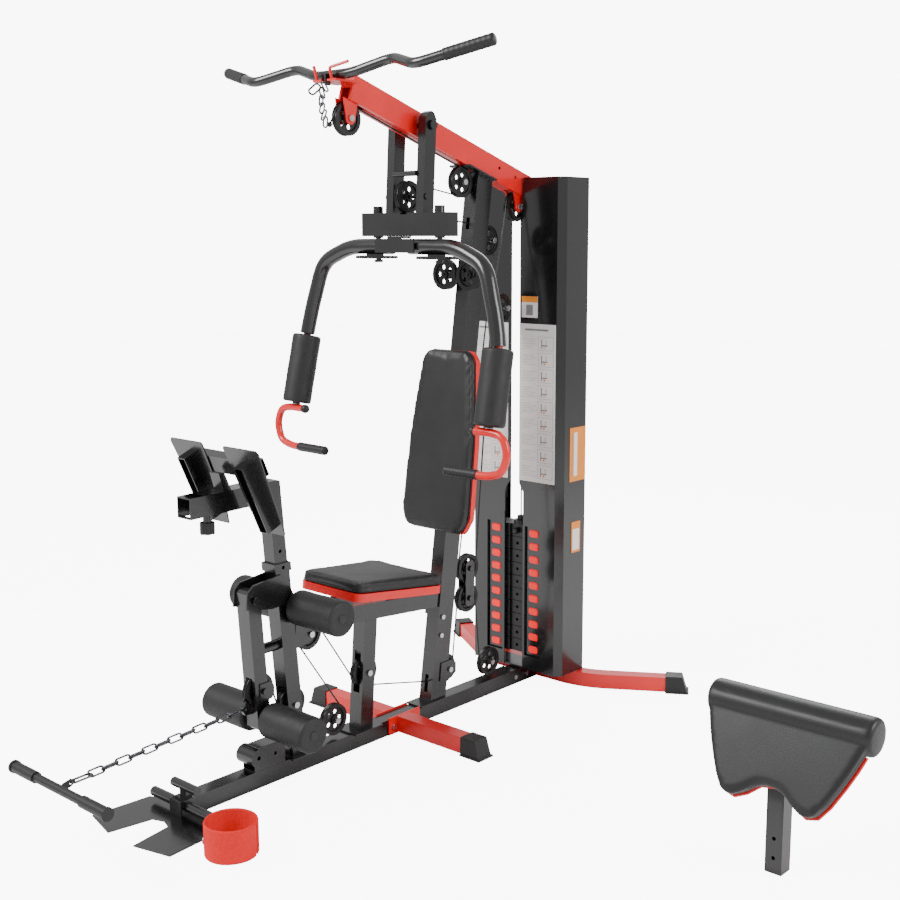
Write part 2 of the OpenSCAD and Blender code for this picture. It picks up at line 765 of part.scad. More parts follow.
module back_board() {
    color(red) back_place(0.4) difference() {
        translate([0, back_low, 0]) slab(back_pts, 20, board_t);
        for (y = [80, 380])
            translate([0, back_low + y, -1]) cylinder(r = 4.1, h = 12);
    }
}
module back_cushion() {
    color(vinyl) back_place(board_t + 0.7)
        translate([0, back_low, 0]) slab(back_pts, 20, back_cushion_t);
}

// ---- bolts and axles of the standing frame ----
module stud(x_half, y, z) {
    bar_x([-x_half, x_half], y, z, 5);
    for (s = [-1, 1]) translate([s * (x_half + 3), y, z]) rotate([0, s * 90, 0])
        translate([0, 0, -3]) cylinder(r = 8.5, h = 6, $fn = 6);
}
module frame_bolts() {
    color(steel) {
        axle(P_BOOM_FRONT, 22);
        axle(P_BOOM_REAR, 22);
        axle(P_UPRIGHT_TOP, 21);
        axle(P_BEHIND_HIGH, 33);
        axle(P_BEHIND_LOW, 33);
        axle(P_UPRIGHT_FOOT, 33);
        axle(P_REAR_RAIL, 21);
        axle(P_SEAT_POST, 29);
        axle(P_FRONT_BASE, 21);
        axle(P_DEVELOPER, 21);
        axle(P_DEV_FOOT, 29);
        stud(25.4, upright_y(323) + 20, 323);
        stud(25.4, upright_y(264) + 20, 264);
        for (y = [-275, -175])
            stud(30.4, y, 25);
        for (y = [320, 380])
            stud(25.4, y, 25);
    }
}

// ---- front of the base ----
module lever_bumper() {
    color(black) {
        difference() {
            box([-half, half], [-815, -705], [rail_top + 0.3, 118]);
            box([-half + 2.5, half - 2.5], [-840, -707.5], [rail_top + 2.8, 115.5]);
            bar_x([-30, 30], -806, 92, 26.5);
            bar_x([-30, 30], -740, 85, 5);
        }
        difference() {
            bar_x([-34, 34], -806, 92, 26.3);
            bar_x([-35, 35], -806, 92, 6);
        }
    }
}

// ---- press and fly frame, hung from the boom on one axle ----
fly_x = 127;
fly_y = -160;
press_front_y = -181;
module press_frame() {
    color(black) {
        both_sides() difference() {
            union() {
                side_plate([47, 77], [
                    [-178, 1587.2], [-162.5, 1855], [-152, 1872], [-138, 1878], [-126, 1872],
                    [-117.5, 1855], [-133, 1587.2]
                ]);
            }
            side_plate([49.5, 74.5], [
                [-176, 1592], [-160, 1848], [-120, 1848], [-136, 1592]
            ]);
            bar_x([40, 80], P_PRESS[1], P_PRESS[2], 5.3);
            bar_x([40, 80], press_pivot[1], press_pivot[2], 8.05);
        }
        bar_x([-48, 48], -172, 1700, 8);
        difference() {
            box([-177, 177], [press_front_y, -136], [1518, 1587]);
            box([-174.5, 174.5], [press_front_y + 2.5, -138.5], [1520.5, 1584.5]);
            for (s = [-1, 1])
                bar_z(s * fly_x, fly_y, [1500, 1610], 15.05);
            box([-13, 13], [-200, -120], [1582, 1590]);
        }
        both_sides() difference() {
            bar_z(fly_x, fly_y, [1513, 1607], 15);
            bar_z(fly_x, fly_y, [1500, 1601], 8.2);
        }
        // plain name plate carrier in front of the arms
        box([-80, 80], [-222, -218.5], [1470, 1511]);
        box([-28, 28], [-219, -178], [1512, 1517.9]);
        box([-28, 28], [-222, -218.6], [1505, 1517.9]);
    }
    color(steel) {
        bar_x([-84, 84], press_pivot[1], press_pivot[2], 8);
        for (s = [-1, 1])
            bar_x([s * 84 - 3, s * 84 + 3], press_pivot[1], press_pivot[2], 14);
        bar_x([-82, 82], P_PRESS[1], P_PRESS[2], 5);
        for (s = [-1, 1])
            bar_x([s * 80 - 3, s * 80 + 3], P_PRESS[1], P_PRESS[2], 9);
        both_sides() {
            bar_z(fly_x, fly_y, [1448, 1604], 8);
            bar_z(fly_x, fly_y, [1440, 1448.1], 13);
        }
    }
}
arm_r = 23;
arm_path = rounded([
    [36, -190, 1488], [215, -190, 1488], [335, -197, 1440], [382, -208, 1290], [397, -215.5, 1214.5]
], 46, 5);
module arm_right_solid() {
    difference() {
        union() {
            swept_rod(arm_path, arm_r, 20, [0, 1, 0]);
            bar_z(fly_x, fly_y, [1460.3, 1511], 15);
            // half-round cam under the arm that carries the fly cable
            translate([fly_x, fly_y, 1452]) intersection() {
                cylinder(r = 70, h = 8, $fn = 72);
                translate([-70, -70, -1]) cube([140, 84, 10]);
            }
            box([fly_x - 22, fly_x + 22], [-190, -160], [1459, 1470]);
        }
        bar_z(fly_x, fly_y, [1440, 1520], 8.05);
        along(pad_top - pad_axis * 22, pad_low) cylinder(r = 12.3, h = 40);
    }
}
module arm_right() {
    color(black) arm_right_solid();
}
module arm_left() {
    color(black) mirror([1, 0, 0]) arm_right_solid();
}
pad_top = [398, -216, 1208];
pad_low = [404, -262, 996];
pad_axis = unit(pad_low - pad_top);
module along(a, b) {
    // stand the children on a, with local +Z towards b
    v = b - a;
    translate(a) rotate([0, acos(v[2] / norm(v)), atan2(v[1], v[0])]) children();
}
module arm_pad() {
    along(pad_top, pad_low) difference() {
        cylinder(r = arm_foam_d / 2, h = norm(pad_low - pad_top));
        translate([0, 0, -1]) cylinder(r = 12.5, h = norm(pad_low - pad_top) + 2);
    }
}
module arm_pad_right() {
    color(foam) arm_pad();
}
module arm_pad_left() {
    color(foam) mirror([1, 0, 0]) arm_pad();
}
handle_path = rounded([
    [358, -271, 980], [421, -272, 982], [464, -273, 974], [482, -275, 924], [464, -277, 872],
    [412, -278, 858], [372, -278, 858]
], 22, 5);
module handle_solid() {
    swept_rod(handle_path, 11.5, 16, [0, 1, 0.2]);
    along(pad_top - pad_axis * 20, pad_low + pad_axis * 14)
        cylinder(r = 12, h = norm(pad_low - pad_top) + 34);
}
module grip_solid() {
    along([376, -278, 858], [251, -278, 857]) cylinder(r = 14.5, h = 125);
    translate([353, -271, 980]) sphere(r = 14, $fn = 32);
}
module handle_right() {
    color(red) handle_solid();
    color(black) grip_solid();
}
module handle_left() {
    mirror([1, 0, 0]) {
        color(red) handle_solid();
        color(black) grip_solid();
    }
}

// ---- leg developer lever ----
lever_low = [0, -762, 192];
module lever_outline(g) {
    polygon([
        [-822.5 + g, 560 - g], [-815 + g, 568 - g], [-790 - g, 568 - g], [-779 - g, 556 - g],
        [-752 - g, 172 + g], [-757 - g, 165 + g], [-790 + g, 165 + g], [-797 + g, 172 + g]
    ]);
}
module leg_lever() {
    color(black) difference() {
        union() {
            translate([-half, 0, 0]) rotate([90, 0, 90]) linear_extrude(2 * half)
                lever_outline(0);
            both_sides() side_plate([half - 0.2, half + 3.8], [
                [-790, 300], [-752, 300], [-741, 286], [-741, 262], [-752, 250], [-790, 250]
            ]);
            side_plate([-6, 6], [[-826, 216], [-832, 224], [-832, 238], [-826, 246], [-790, 250],
                [-790, 212]]);
        }
        translate([-half + tube_wall, 0, 0]) rotate([90, 0, 90])
            linear_extrude(2 * half - 2 * tube_wall) polygon([
                [-812, 500], [-781, 500], [-762, 222], [-790, 222], [-796, 300]
            ]);
        box([-13, 13], [-850, -700], [252, 300]);
        bar_x([-13, 13], P_LEVER[1], P_LEVER[2], 50);
        bar_x([-40, 40], P_LEVER[1], P_LEVER[2], 5.3);
        bar_x([-40, 40], lever_pivot[1], lever_pivot[2], 6.05);
        bar_x([-7, 7], -824, 231, 4);
        bar_x([-40, 40], lever_low[1], lever_low[2], 12.55);
    }
    color(black) bar_x([-209.5, 209.5], lever_low[1], lever_low[2], 12.5);
    color(steel) {
        axle(P_LEVER, 33);
        bar_x([-38, 38], lever_pivot[1], lever_pivot[2], 6);
        for (s = [-1, 1])
            bar_x([s * 38 - 4, s * 38 + 4], lever_pivot[1], lever_pivot[2], 11);
    }
}
module roller_pair(y, z) {
    both_sides() difference() {
        bar_x([34, 216], y, z, roller_d / 2);
        bar_x([33, 210], y, z, 12.55);
    }
}
module upper_rollers() {
    color(foam) roller_pair(roller_up[1], roller_up[2]);
}
module lower_rollers() {
    color(foam) roller_pair(lever_low[1], lever_low[2]);
}

// ---- cables ----
cable_end = [0, -466, 1826];
stem_top = [0, rod_y, plate_z(lead) + plate_t + 13];
lat_route = cable_route(cable_end, [
    [P_BOOM_FRONT, -1], [P_UPRIGHT_TOP, -1], [P_PRESS, 1], [P_BEHIND_HIGH, -1],
    [P_FLOAT_UPPER, 1], [P_BEHIND_LOW, -1], [P_BOOM_REAR, -1]
], stem_top);
module lat_cable() {
    cable(lat_route);
    color(black) translate(cable_end + [0, -2, -4]) sphere(r = 7.5, $fn = 24);
}
lever_eye = [0, -826, 252];
low_anchor = [0, 292, 66];
low_route = cable_route(lever_eye, [
    [P_LEVER, -1], [P_DEV_FOOT, 1], [P_FRONT_BASE, 1], [P_DEVELOPER, -1],
    [P_SEAT_POST, 1], [P_UPRIGHT_FOOT, 1], [P_FLOAT_LOWER, -1], [P_REAR_RAIL, 1]
], low_anchor);
module low_cable() {
    cable(low_route);
}

// ---- chains: closed links laid along a line ----
function link_path(l, r) = concat(
    [for (k = [-3 : 3]) [l / 2 + r * cos(30 * k), r * sin(30 * k)]],
    [for (k = [3 : 9]) [-l / 2 + r * cos(30 * k), r * sin(30 * k)]]
);
module link(l, r, w, sides = 6) {
    p = link_path(l, r);
    n = len(p);
    pts = [
        for (i = [0 : n - 1])
            let (c = [i < 7 ? l / 2 : -l / 2, 0], o = (p[i] - c) / r)
                for (k = [0 : sides - 1])
                    let (a = 360 * k / sides)
                        [p[i][0] + w * cos(a) * o[0], p[i][1] + w * cos(a) * o[1], w * sin(a)]
    ];
    faces = [
        for (i = [0 : n - 1]) for (k = [0 : sides - 1])
            let (a = i * sides + k, b = i * sides + (k + 1) % sides,
                c = ((i + 1) % n) * sides + (k + 1) % sides, d = ((i + 1) % n) * sides + k)
                each [[a, b, c], [a, c, d]]
    ];
    polyhedron(points = pts, faces = faces, convexity = 4);
}
// One link centred on c, its length along the heading a in the Y-Z plane
module link_at(c, a, roll, l, r, w) {
    translate(c) rotate([a, 0, 0]) rotate([0, 0, 90]) rotate([roll, 0, 0]) link(l, r, w);
}
module chain_run(a, b, n, l, r, w) {
    v = b - a;
    ang = atan2(v[2], v[1]);
    for (i = [0 : n - 1])
        link_at(a + v * (i + 0.5) / n, ang, i % 2 == 0 ? 45 : -45, l, r, w);
}
chain_a = [0, -1311, 203];
chain_b = [0, -838, 231];
module row_chain() {
    color(steel) {
        chain_run(chain_a, chain_b, 12, 28, 8.6, 2.5);
        link_at([0, -1333, 200.2], 2, 0, 40, 9, 3);
    }
}
row_c = [0, -1395, 192];
module row_bar() {
    color(black) {
        bar_x([-104, 104], row_c[1], row_c[2], 11.5);
        for (s = [-1, 1])
            translate([s * 156, row_c[1], row_c[2]]) rotate([0, 90, 0]) difference() {
                union() {
                    cylinder(r = 15, h = 104, center = true);
                    translate([0, 0, s * 50]) cylinder(r = 17, h = 8, center = true);
                }
                translate([0, 0, s * -52]) cylinder(r = 11.45, h = 8, center = true);
            }
        difference() {
            side_plate([-3, 3], [[-1386, 184], [-1362, 190], [-1352, 198], [-1352, 204],
                [-1362, 208], [-1386, 202]]);
            bar_x([-4, 4], -1362, 199, 5.5);
        }
    }
}
// ---- lat bar: straight middle, raised shoulders, drooping ends ----
lat_mid = [0, -450, 1956];
lat_path = rounded([
    [-531, -392, 2007], [-320, -465, 1957], [-194, -412, 1990], [-70, -450, 1956],
    [70, -450, 1956], [194, -412, 1990], [320, -465, 1957], [531, -392, 2007]
], 32, 4);
module lat_bar() {
    color(black) {
        swept_rod(lat_path, 14, 16, [0, 1, 0]);
        for (s = [-1, 1])
            along([s * 400, -437.3, 1976], [s * 534, -391, 2007.8]) cylinder(r = 16.5, h = 145);
        difference() {
            side_plate([-3, 3], [[-462, 1946], [-474, 1926], [-484, 1926], [-482, 1950],
                [-462, 1962]]);
            bar_x([-4, 4], -478, 1932, 3.6);
        }
    }
}
chain_pts = [
    [-484, 1922, -55], [-494, 1904, -70], [-498, 1884, -95], [-495, 1864, -105],
    [-489, 1846, -110], [-484, 1828, -95]
];
module lat_chain() {
    color(steel) {
        for (i = [0 : len(chain_pts) - 1])
            link_at([0, chain_pts[i][0], chain_pts[i][1]], chain_pts[i][2],
                i % 2 == 0 ? 0 : 90, 14, 6, 1.8);
        link_at([0, -521, 1912], 35, 60, 24, 9, 2.4);
    }
}

// ---- loose pieces ----
// Ankle cuff: a thick open band with a keeper ring, standing on the floor
cuff = [269, -1089, 0];
module ankle_strap() {
    translate(cuff) {
        color(red) rotate([0, 0, 40]) rotate_extrude(angle = 328, $fn = 96)
            translate([63, 0.5]) square([5.5, 88]);
        color(black) rotate([0, 0, 196]) translate([70.5, -14, 18]) cube([3, 28, 14]);
        color(steel) rotate([0, 0, 196]) translate([76.5, 0, 20]) rotate([90, 0, 90])
            link(14, 9, 2.2);
    }
}
// Bracket with two angled plates that holds the arm-curl pad's post
rest_lean = 23.8;
module rest_place() {
    translate([0, -906, 981]) rotate([rest_lean, 0, 0]) children();
}
rest_h = 262;
module tablet_rest() {
    color(black) difference() {
        union() {
            both_sides() rest_place() {
                translate([44, 0, -rest_h]) rotate([90, 0, 0]) translate([0, 0, -4])
                    linear_extrude(4) polygon([
                        [30, 0], [112, 0], [118, 6], [141, rest_h - 10], [133, rest_h],
                        [4, rest_h], [0, rest_h - 6], [10, 60]
                    ]);
                // channel rib down each plate
                translate([104, -30, -rest_h + 22]) difference() {
                    cube([32, 30.1, rest_h - 62]);
                    translate([3, -1, 3]) cube([26, 28.6, rest_h - 68]);
                }
            }
            // cross bar behind the plates
            rest_place() translate([-150, 3.9, -92]) difference() {
                cube([300, 30, 50]);
                translate([-1, 2.5, 2.5]) cube([302, 25, 45]);
            }
            // arm from the post out to the socket for the pad's post
            side_plate([-28, 28], [[-1000, 798], [-1000, 854], [dev_y(830) + 8, 862],
                [dev_y(830) + 8, 806]]);
            side_plate([-22.45, 22.45], [
                [dev_y(575) - 22.4, 575], [dev_y(858) - 22.4, 858],
                [dev_y(858) + 22.4, 858], [dev_y(575) + 22.4, 575]
            ]);
            bar_z(0, -928, [778, 800], 11);
            side_plate([-20, 20], [[-884, 850], [-858, 850], [-882, 905], [-900, 905]]);
        }
        side_plate([-20, 20], [
            [dev_y(570) - 20, 570], [dev_y(790) - 20, 790],
            [dev_y(790) + 20, 790], [dev_y(570) + 20, 570]
        ]);
        box([-25, 25], [-1001, -760], [801.5, 850.5]);
        box([-23, 23], [-988, -942], [790, 870]);
        bar_z(0, -928, [776, 802], 6.05);
        bar_x([-60, 60], dev_y(660), 660, 5.2);
        bar_x([-60, 60], dev_y(610), 614, 5.2);
    }
}
module rest_knob() {
    color(black) translate([0, -928, 0]) {
        bar_z(0, 0, [749, 799.5], 6);
        difference() {
            bar_z(0, 0, [746, 777.3], 20);
            for (k = [0 : 5])
                rotate([0, 0, 60 * k]) translate([23, 0, 740]) cylinder(r = 6.5, h = 40);
        }
    }
}
// Arm-curl pad: sloping half-moon cushion on a board, with its own post
pad_at = [1337, -275, 0];
curl_slope = 25.8;
module pad_plane(d) {
    // local X across the pad, local Y up the slope, local Z out of its face
    translate([pad_at[0], -363, 190]) rotate([90 - curl_slope, 0, 0])
        translate([0, 0, d]) children();
}
pad_half = [
    [0, 52], [32, 46], [62, 20], [94, 4], [124, 12], [148, 46], [174, 100], [192, 143],
    [208, 190], [220, 232]
];
pad_outline = concat(pad_half, [for (i = [len(pad_half) - 1 : -1 : 1]) [-pad_half[i][0], pad_half[i][1]]]);
roll_r = 50;
roll_c = [232, -44];
pad_cushion_t = 34;
module curl_cushion() {
    color(vinyl) {
        pad_plane(-pad_cushion_t) linear_extrude(pad_cushion_t)
            offset(r = 8, $fn = 32) offset(delta = -8) polygon(pad_outline);
        pad_plane(roll_c[1]) translate([-220, roll_c[0], 0]) rotate([0, 90, 0])
            cylinder(r = roll_r, h = 440, $fn = 72);
    }
}
module curl_board() {
    color(red) pad_plane(-pad_cushion_t - 10.3) linear_extrude(10)
        difference() {
            offset(r = 6, $fn = 32) offset(delta = -6) polygon(pad_outline);
            translate([-300, 181]) square([600, 100]);
        }
}
module curl_post() {
    pad_front = pad_cushion_t + 10.6;
    color(black) difference() {
        union() {
            translate([pad_at[0] - 22.5, pad_at[1] - 22.5, 0]) cube([45, 45, 330]);
            pad_plane(-pad_front - 5) translate([-70, 60, 0]) cube([140, 116, 5]);
        }
        translate([pad_at[0] - 20, pad_at[1] - 20, -1]) cube([40, 40, 206]);
        pad_plane(-pad_front) translate([-150, -150, 0]) cube([300, 600, 300]);
        for (z = [40, 90]) {
            bar_y(pad_at[0], [pad_at[1] - 30, pad_at[1] + 30], z, 5);
        }
    }
}

// ---- floating block behind the upright ----
module float_block() {
    color(black) both_sides() difference() {
        side_plate([13, 17], [[76, 335], [86, 325], [108, 325], [118, 335], [120, 468],
            [110, 478], [88, 478], [78, 468]]);
        bar_x([12, 18], P_FLOAT_UPPER[1], P_FLOAT_UPPER[2], 5.3);
        bar_x([12, 18], P_FLOAT_LOWER[1], P_FLOAT_LOWER[2], 5.3);
    }
    color(steel) {
        axle(P_FLOAT_UPPER, 21);
        axle(P_FLOAT_LOWER, 21);
    }
}

// ---- pulleys ----
module pulley_boom_front() {
    pulley_at(P_BOOM_FRONT);
}
module pulley_boom_rear() {
    pulley_at(P_BOOM_REAR);
}
module pulley_upright_top() {
    pulley_at(P_UPRIGHT_TOP);
}
module pulley_press() {
    pulley_at(P_PRESS);
}
module float_pulleys() {
    pulley_at(P_FLOAT_UPPER);
    pulley_at(P_FLOAT_LOWER);
}
module pulley_rear_rail() {
    pulley_at(P_REAR_RAIL);
}
module pulley_upright_foot() {
    pulley_at(P_UPRIGHT_FOOT);
}
module pulley_seat_post() {
    pulley_at(P_SEAT_POST);
}
module pulley_front_base() {
    pulley_at(P_FRONT_BASE);
}
module pulley_developer() {
    pulley_at(P_DEVELOPER);
}
module pulley_lever() {
    pulley_at(P_LEVER);
}
fly_pulley = [-50, 58, 1400];
module pulleys_fly() {
    both_sides() {
        color(black) translate(fly_pulley) rotate([0, 0, 90]) pulley();
        color(steel) bar_y(fly_pulley[0], [fly_pulley[1] - 14, upright_y(1400) - 5],
            fly_pulley[2], 4.95);
    }
    color(black) box([-60, 60], [upright_y(1385) - 7, upright_y(1385) - 0.4], [1385, 1415]);
}
module idler_pulleys() {
    pulley_at(P_BEHIND_HIGH);
    pulley_at(P_BEHIND_LOW);
    pulley_at(P_DEV_FOOT);
}

front_rail();
rear_rail();
foot_rest();
front_stabilizer();
rear_stabilizer();
end_caps();
main_upright();
seat_frame();
developer_post();
top_boom();
stack_frame();
guide_rods();
shroud_left();
shroud_right();
label_panels();
seat_cushion();
seat_board();
back_cushion();
back_board();
frame_bolts();
lever_bumper();
press_frame();
arm_left();
arm_right();
arm_pad_left();
arm_pad_right();
handle_left();
handle_right();
leg_lever();
upper_rollers();
lower_rollers();
weight_plates();
top_plate();
selector_pin();
lat_cable();
low_cable();
lat_bar();
lat_chain();
row_bar();
row_chain();
curl_cushion();
curl_board();
curl_post();
ankle_strap();
tablet_rest();
rest_knob();
float_block();
pulley_boom_front();
pulley_boom_rear();
pulley_upright_top();
pulley_press();
float_pulleys();
pulley_rear_rail();
pulley_upright_foot();
pulley_seat_post();
pulley_front_base();
pulley_developer();
pulley_lever();
pulleys_fly();
idler_pulleys();
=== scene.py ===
# Looks of the multi station home gym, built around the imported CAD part. Metres, +Z up.
import math
import bpy
from mathutils import Vector, Matrix, noise


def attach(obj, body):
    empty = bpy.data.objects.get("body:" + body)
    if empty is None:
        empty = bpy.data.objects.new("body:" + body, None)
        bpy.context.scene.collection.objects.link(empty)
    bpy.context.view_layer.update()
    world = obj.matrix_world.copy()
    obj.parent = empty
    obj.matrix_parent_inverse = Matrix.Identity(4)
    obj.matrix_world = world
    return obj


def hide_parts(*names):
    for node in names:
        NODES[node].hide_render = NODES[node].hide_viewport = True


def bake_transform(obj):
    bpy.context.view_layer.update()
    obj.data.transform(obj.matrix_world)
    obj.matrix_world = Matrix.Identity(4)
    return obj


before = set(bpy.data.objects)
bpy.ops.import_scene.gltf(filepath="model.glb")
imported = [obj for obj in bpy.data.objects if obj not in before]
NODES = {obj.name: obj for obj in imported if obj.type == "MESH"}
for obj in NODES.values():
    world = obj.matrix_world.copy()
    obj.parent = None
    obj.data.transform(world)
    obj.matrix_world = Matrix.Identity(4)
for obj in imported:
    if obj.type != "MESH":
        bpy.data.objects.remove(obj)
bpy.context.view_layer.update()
scene = bpy.context.scene
TURN = 6.283185307  # a full turn in radians
MM = 0.001
WELD = 0.00002  # points of a CAD mesh closer than this are one point


# ---------------------------------------------------------------- materials
def material(name, base, rough, metal=0.0, coat=0.0, grain=0.0, scale=60.0, spread=0.25,
             bump=0.0, bump_scale=400.0, kind="noise"):
    """A painted, moulded or plated surface: colour and roughness vary over a noise, with a fine bump."""
    m = bpy.data.materials.new(name)
    m.use_nodes = True
    n, l = m.node_tree.nodes, m.node_tree.links
    b = n["Principled BSDF"]
    b.inputs["Metallic"].default_value = metal
    b.inputs["Coat Weight"].default_value = coat
    b.inputs["Coat Roughness"].default_value = 0.12
    co = n.new("ShaderNodeTexCoord")
    big = n.new("ShaderNodeTexNoise")
    big.inputs["Scale"].default_value = scale
    big.inputs["Detail"].default_value = 4
    l.new(co.outputs["Object"], big.inputs["Vector"])
    ramp = n.new("ShaderNodeValToRGB")
    lo = [c * (1 - grain) for c in base]
    hi = [min(1, c * (1 + grain)) for c in base]
    ramp.color_ramp.elements[0].position = 0.3
    ramp.color_ramp.elements[0].color = (*lo, 1)
    ramp.color_ramp.elements[1].position = 0.7
    ramp.color_ramp.elements[1].color = (*hi, 1)
    l.new(big.outputs["Fac"], ramp.inputs["Fac"])
    l.new(ramp.outputs["Color"], b.inputs["Base Color"])
    r = n.new("ShaderNodeMapRange")
    r.inputs["To Min"].default_value = max(0.02, rough * (1 - spread))
    r.inputs["To Max"].default_value = min(1.0, rough * (1 + spread))
    l.new(big.outputs["Fac"], r.inputs["Value"])
    l.new(r.outputs["Result"], b.inputs["Roughness"])
    if bump:
        fine = n.new("ShaderNodeTexVoronoi" if kind == "leather" else "ShaderNodeTexNoise")
        fine.inputs["Scale"].default_value = bump_scale
        l.new(co.outputs["Object"], fine.inputs["Vector"])
        bp = n.new("ShaderNodeBump")
        bp.inputs["Strength"].default_value = bump
        bp.inputs["Distance"].default_value = 0.0006
        l.new(fine.outputs["Distance" if kind == "leather" else "Fac"], bp.inputs["Height"])
        l.new(bp.outputs["Normal"], b.inputs["Normal"])
    return m


MAT = {
    "black": material("satin_black_paint", (0.0045, 0.0045, 0.0050), 0.26, coat=0.55, grain=0.10,
                      scale=9, bump=0.10, bump_scale=900),
    "sheet": material("shroud_black_paint", (0.0042, 0.0042, 0.0048), 0.20, coat=0.7, grain=0.12,
                      scale=5, bump=0.06, bump_scale=700),
    "red": material("red_paint", (0.76, 0.0040, 0.0030), 0.32, coat=0.4, grain=0.06, scale=8,
                    bump=0.08, bump_scale=900),
    "board": material("red_board", (0.76, 0.0045, 0.0035), 0.40, coat=0.2, grain=0.05, scale=14,
                      bump=0.08, bump_scale=700),
    "silver": material("plated_steel", (0.62, 0.62, 0.64), 0.22, metal=1.0, grain=0.08, scale=90,
                       bump=0.05, bump_scale=1500),
    "chrome": material("chrome_rod", (0.78, 0.78, 0.80), 0.08, metal=1.0, grain=0.04, scale=20,
                       bump=0.02, bump_scale=900),
    "chain": material("dark_plated_chain", (0.10, 0.10, 0.11), 0.28, metal=1.0, grain=0.25,
                      scale=120, bump=0.12, bump_scale=1200),
    "nylon": material("moulded_nylon", (0.0060, 0.0060, 0.0065), 0.34, grain=0.12, scale=40,
                      bump=0.10, bump_scale=1100),
    "plastic": material("moulded_plastic", (0.0070, 0.0070, 0.0075), 0.42, grain=0.12, scale=30,
                        bump=0.15, bump_scale=900),
    "coat": material("cable_coat", (0.012, 0.012, 0.012), 0.28, grain=0.10, scale=200,
                     bump=0.05, bump_scale=1500),
    "foam": material("foam_sleeve", (0.0085, 0.0085, 0.0090), 0.56, grain=0.12, scale=55,
                     bump=0.32, bump_scale=650),
    "grip": material("grip_rubber", (0.0065, 0.0065, 0.0068), 0.46, grain=0.10, scale=70,
                     bump=0.30, bump_scale=900),
    "vinyl": material("cushion_vinyl", (0.0075, 0.0075, 0.0085), 0.42, grain=0.10, scale=10,
                      bump=0.22, bump_scale=520, kind="leather"),
    "plate": material("weight_plate", (0.0065, 0.0065, 0.0070), 0.38, grain=0.14, scale=25,
                      bump=0.12, bump_scale=700),
    "white": material("placard_white", (0.83, 0.83, 0.81), 0.35, grain=0.02, scale=12, bump=0.03,
                      bump_scale=600),
    "grey": material("placard_grey", (0.22, 0.22, 0.23), 0.40, grain=0.10, scale=80, bump=0.03,
                     bump_scale=600),
    "pale": material("placard_pale", (0.60, 0.61, 0.62), 0.40, grain=0.06, scale=80, bump=0.03,
                     bump_scale=600),
    "orange": material("label_orange", (0.85, 0.26, 0.02), 0.38, grain=0.05, scale=60, bump=0.03,
                       bump_scale=600),
    "webbing": material("red_webbing", (0.78, 0.0080, 0.0060), 0.80, grain=0.12, scale=160,
                        bump=0.55, bump_scale=1100),
    "painted_glow": material("marker_red", (0.70, 0.0025, 0.0025), 0.30, grain=0.06, scale=60, bump=0.04,
                     bump_scale=600),
}


# The plate markers get a red emission: a painted glow, since the markers are no lamp.
marker_painted_glow = MAT["painted_glow"].node_tree.nodes["Principled BSDF"]
marker_painted_glow.inputs["Emission Color"].default_value = (1.0, 0.008, 0.006, 1)
marker_painted_glow.inputs["Emission Strength"].default_value = 0.7


# ---------------------------------------------------------------- shape helpers
def smooth(obj):
    for p in obj.data.polygons:
        p.use_smooth = True
    return obj


def new_mesh(name, verts, faces, mat, shade=True):
    me = bpy.data.meshes.new(name)
    me.from_pydata([tuple(v) for v in verts], [], faces)
    me.validate()
    me.update()
    o = bpy.data.objects.new(name, me)
    scene.collection.objects.link(o)
    me.materials.append(MAT[mat])
    if shade:
        smooth(o)
    return o


def bevel(obj, width, segments=2, angle=35):
    b = obj.modifiers.new("edge", "BEVEL")
    b.width = width
    b.segments = segments
    b.limit_method = "ANGLE"
    b.angle_limit = math.radians(angle)
    b.harden_normals = False
    w = obj.modifiers.new("shade", "WEIGHTED_NORMAL")
    w.keep_sharp = False
    return obj


def carried(names, mat, width=0.0015, segments=2):
    """CAD nodes that stay as they are: welded, given rounded edges and their material."""
    for name in names.split():
        o = NODES[name]
        o.data.materials.clear()
        o.data.materials.append(MAT[mat])
        smooth(o)
        w = o.modifiers.new("weld", "WELD")
        w.merge_threshold = WELD
        d = o.modifiers.new("flat", "DECIMATE")
        d.decimate_type = "DISSOLVE"
        d.angle_limit = math.radians(0.6)
        bevel(o, width, segments)


def lerp(a, b, t):
    return a + (b - a) * t


def rounded(points, t, steps=8):
    p = [Vector(q) for q in points]
    out = [p[0]]
    for i in range(1, len(p) - 1):
        a = p[i] + (p[i - 1] - p[i]).normalized() * t
        b = p[i] + (p[i + 1] - p[i]).normalized() * t
        for k in range(steps + 1):
            s = k / steps
            out.append(lerp(lerp(a, p[i], s), lerp(p[i], b, s), s))
    out.append(p[-1])
    return out


def frames(path, up):
    up = Vector(up)
    for i, c in enumerate(path):
        d = (path[min(i + 1, len(path) - 1)] - path[max(i - 1, 0)]).normalized()
        u = d.cross(up).normalized()
        yield c, u, d.cross(u)


def tube_faces(rows, sides):
    """Quads along rows of points, with a flat face on each end."""
    faces = [[i * sides + k, i * sides + (k + 1) % sides, (i + 1) * sides + (k + 1) % sides,
              (i + 1) * sides + k] for i in range(rows - 1) for k in range(sides)]
    faces.append(list(range(sides - 1, -1, -1)))
    faces.append([(rows - 1) * sides + k for k in range(sides)])
    return faces


def sweep(name, path, radius, mat, sides=28, up=(0, 0, 1)):
    """A round bar along a path."""
    path = [Vector(p) for p in path]
    verts = []
    for c, u, v in frames(path, up):
        for k in range(sides):
            a = TURN * k / sides
            verts.append(c + (u * math.cos(a) + v * math.sin(a)) * radius)
    faces = tube_faces(len(path), sides)
    o = new_mesh(name, verts, [f[::-1] for f in faces], mat)
    bevel(o, 0.0004, 1, 60)
    return o


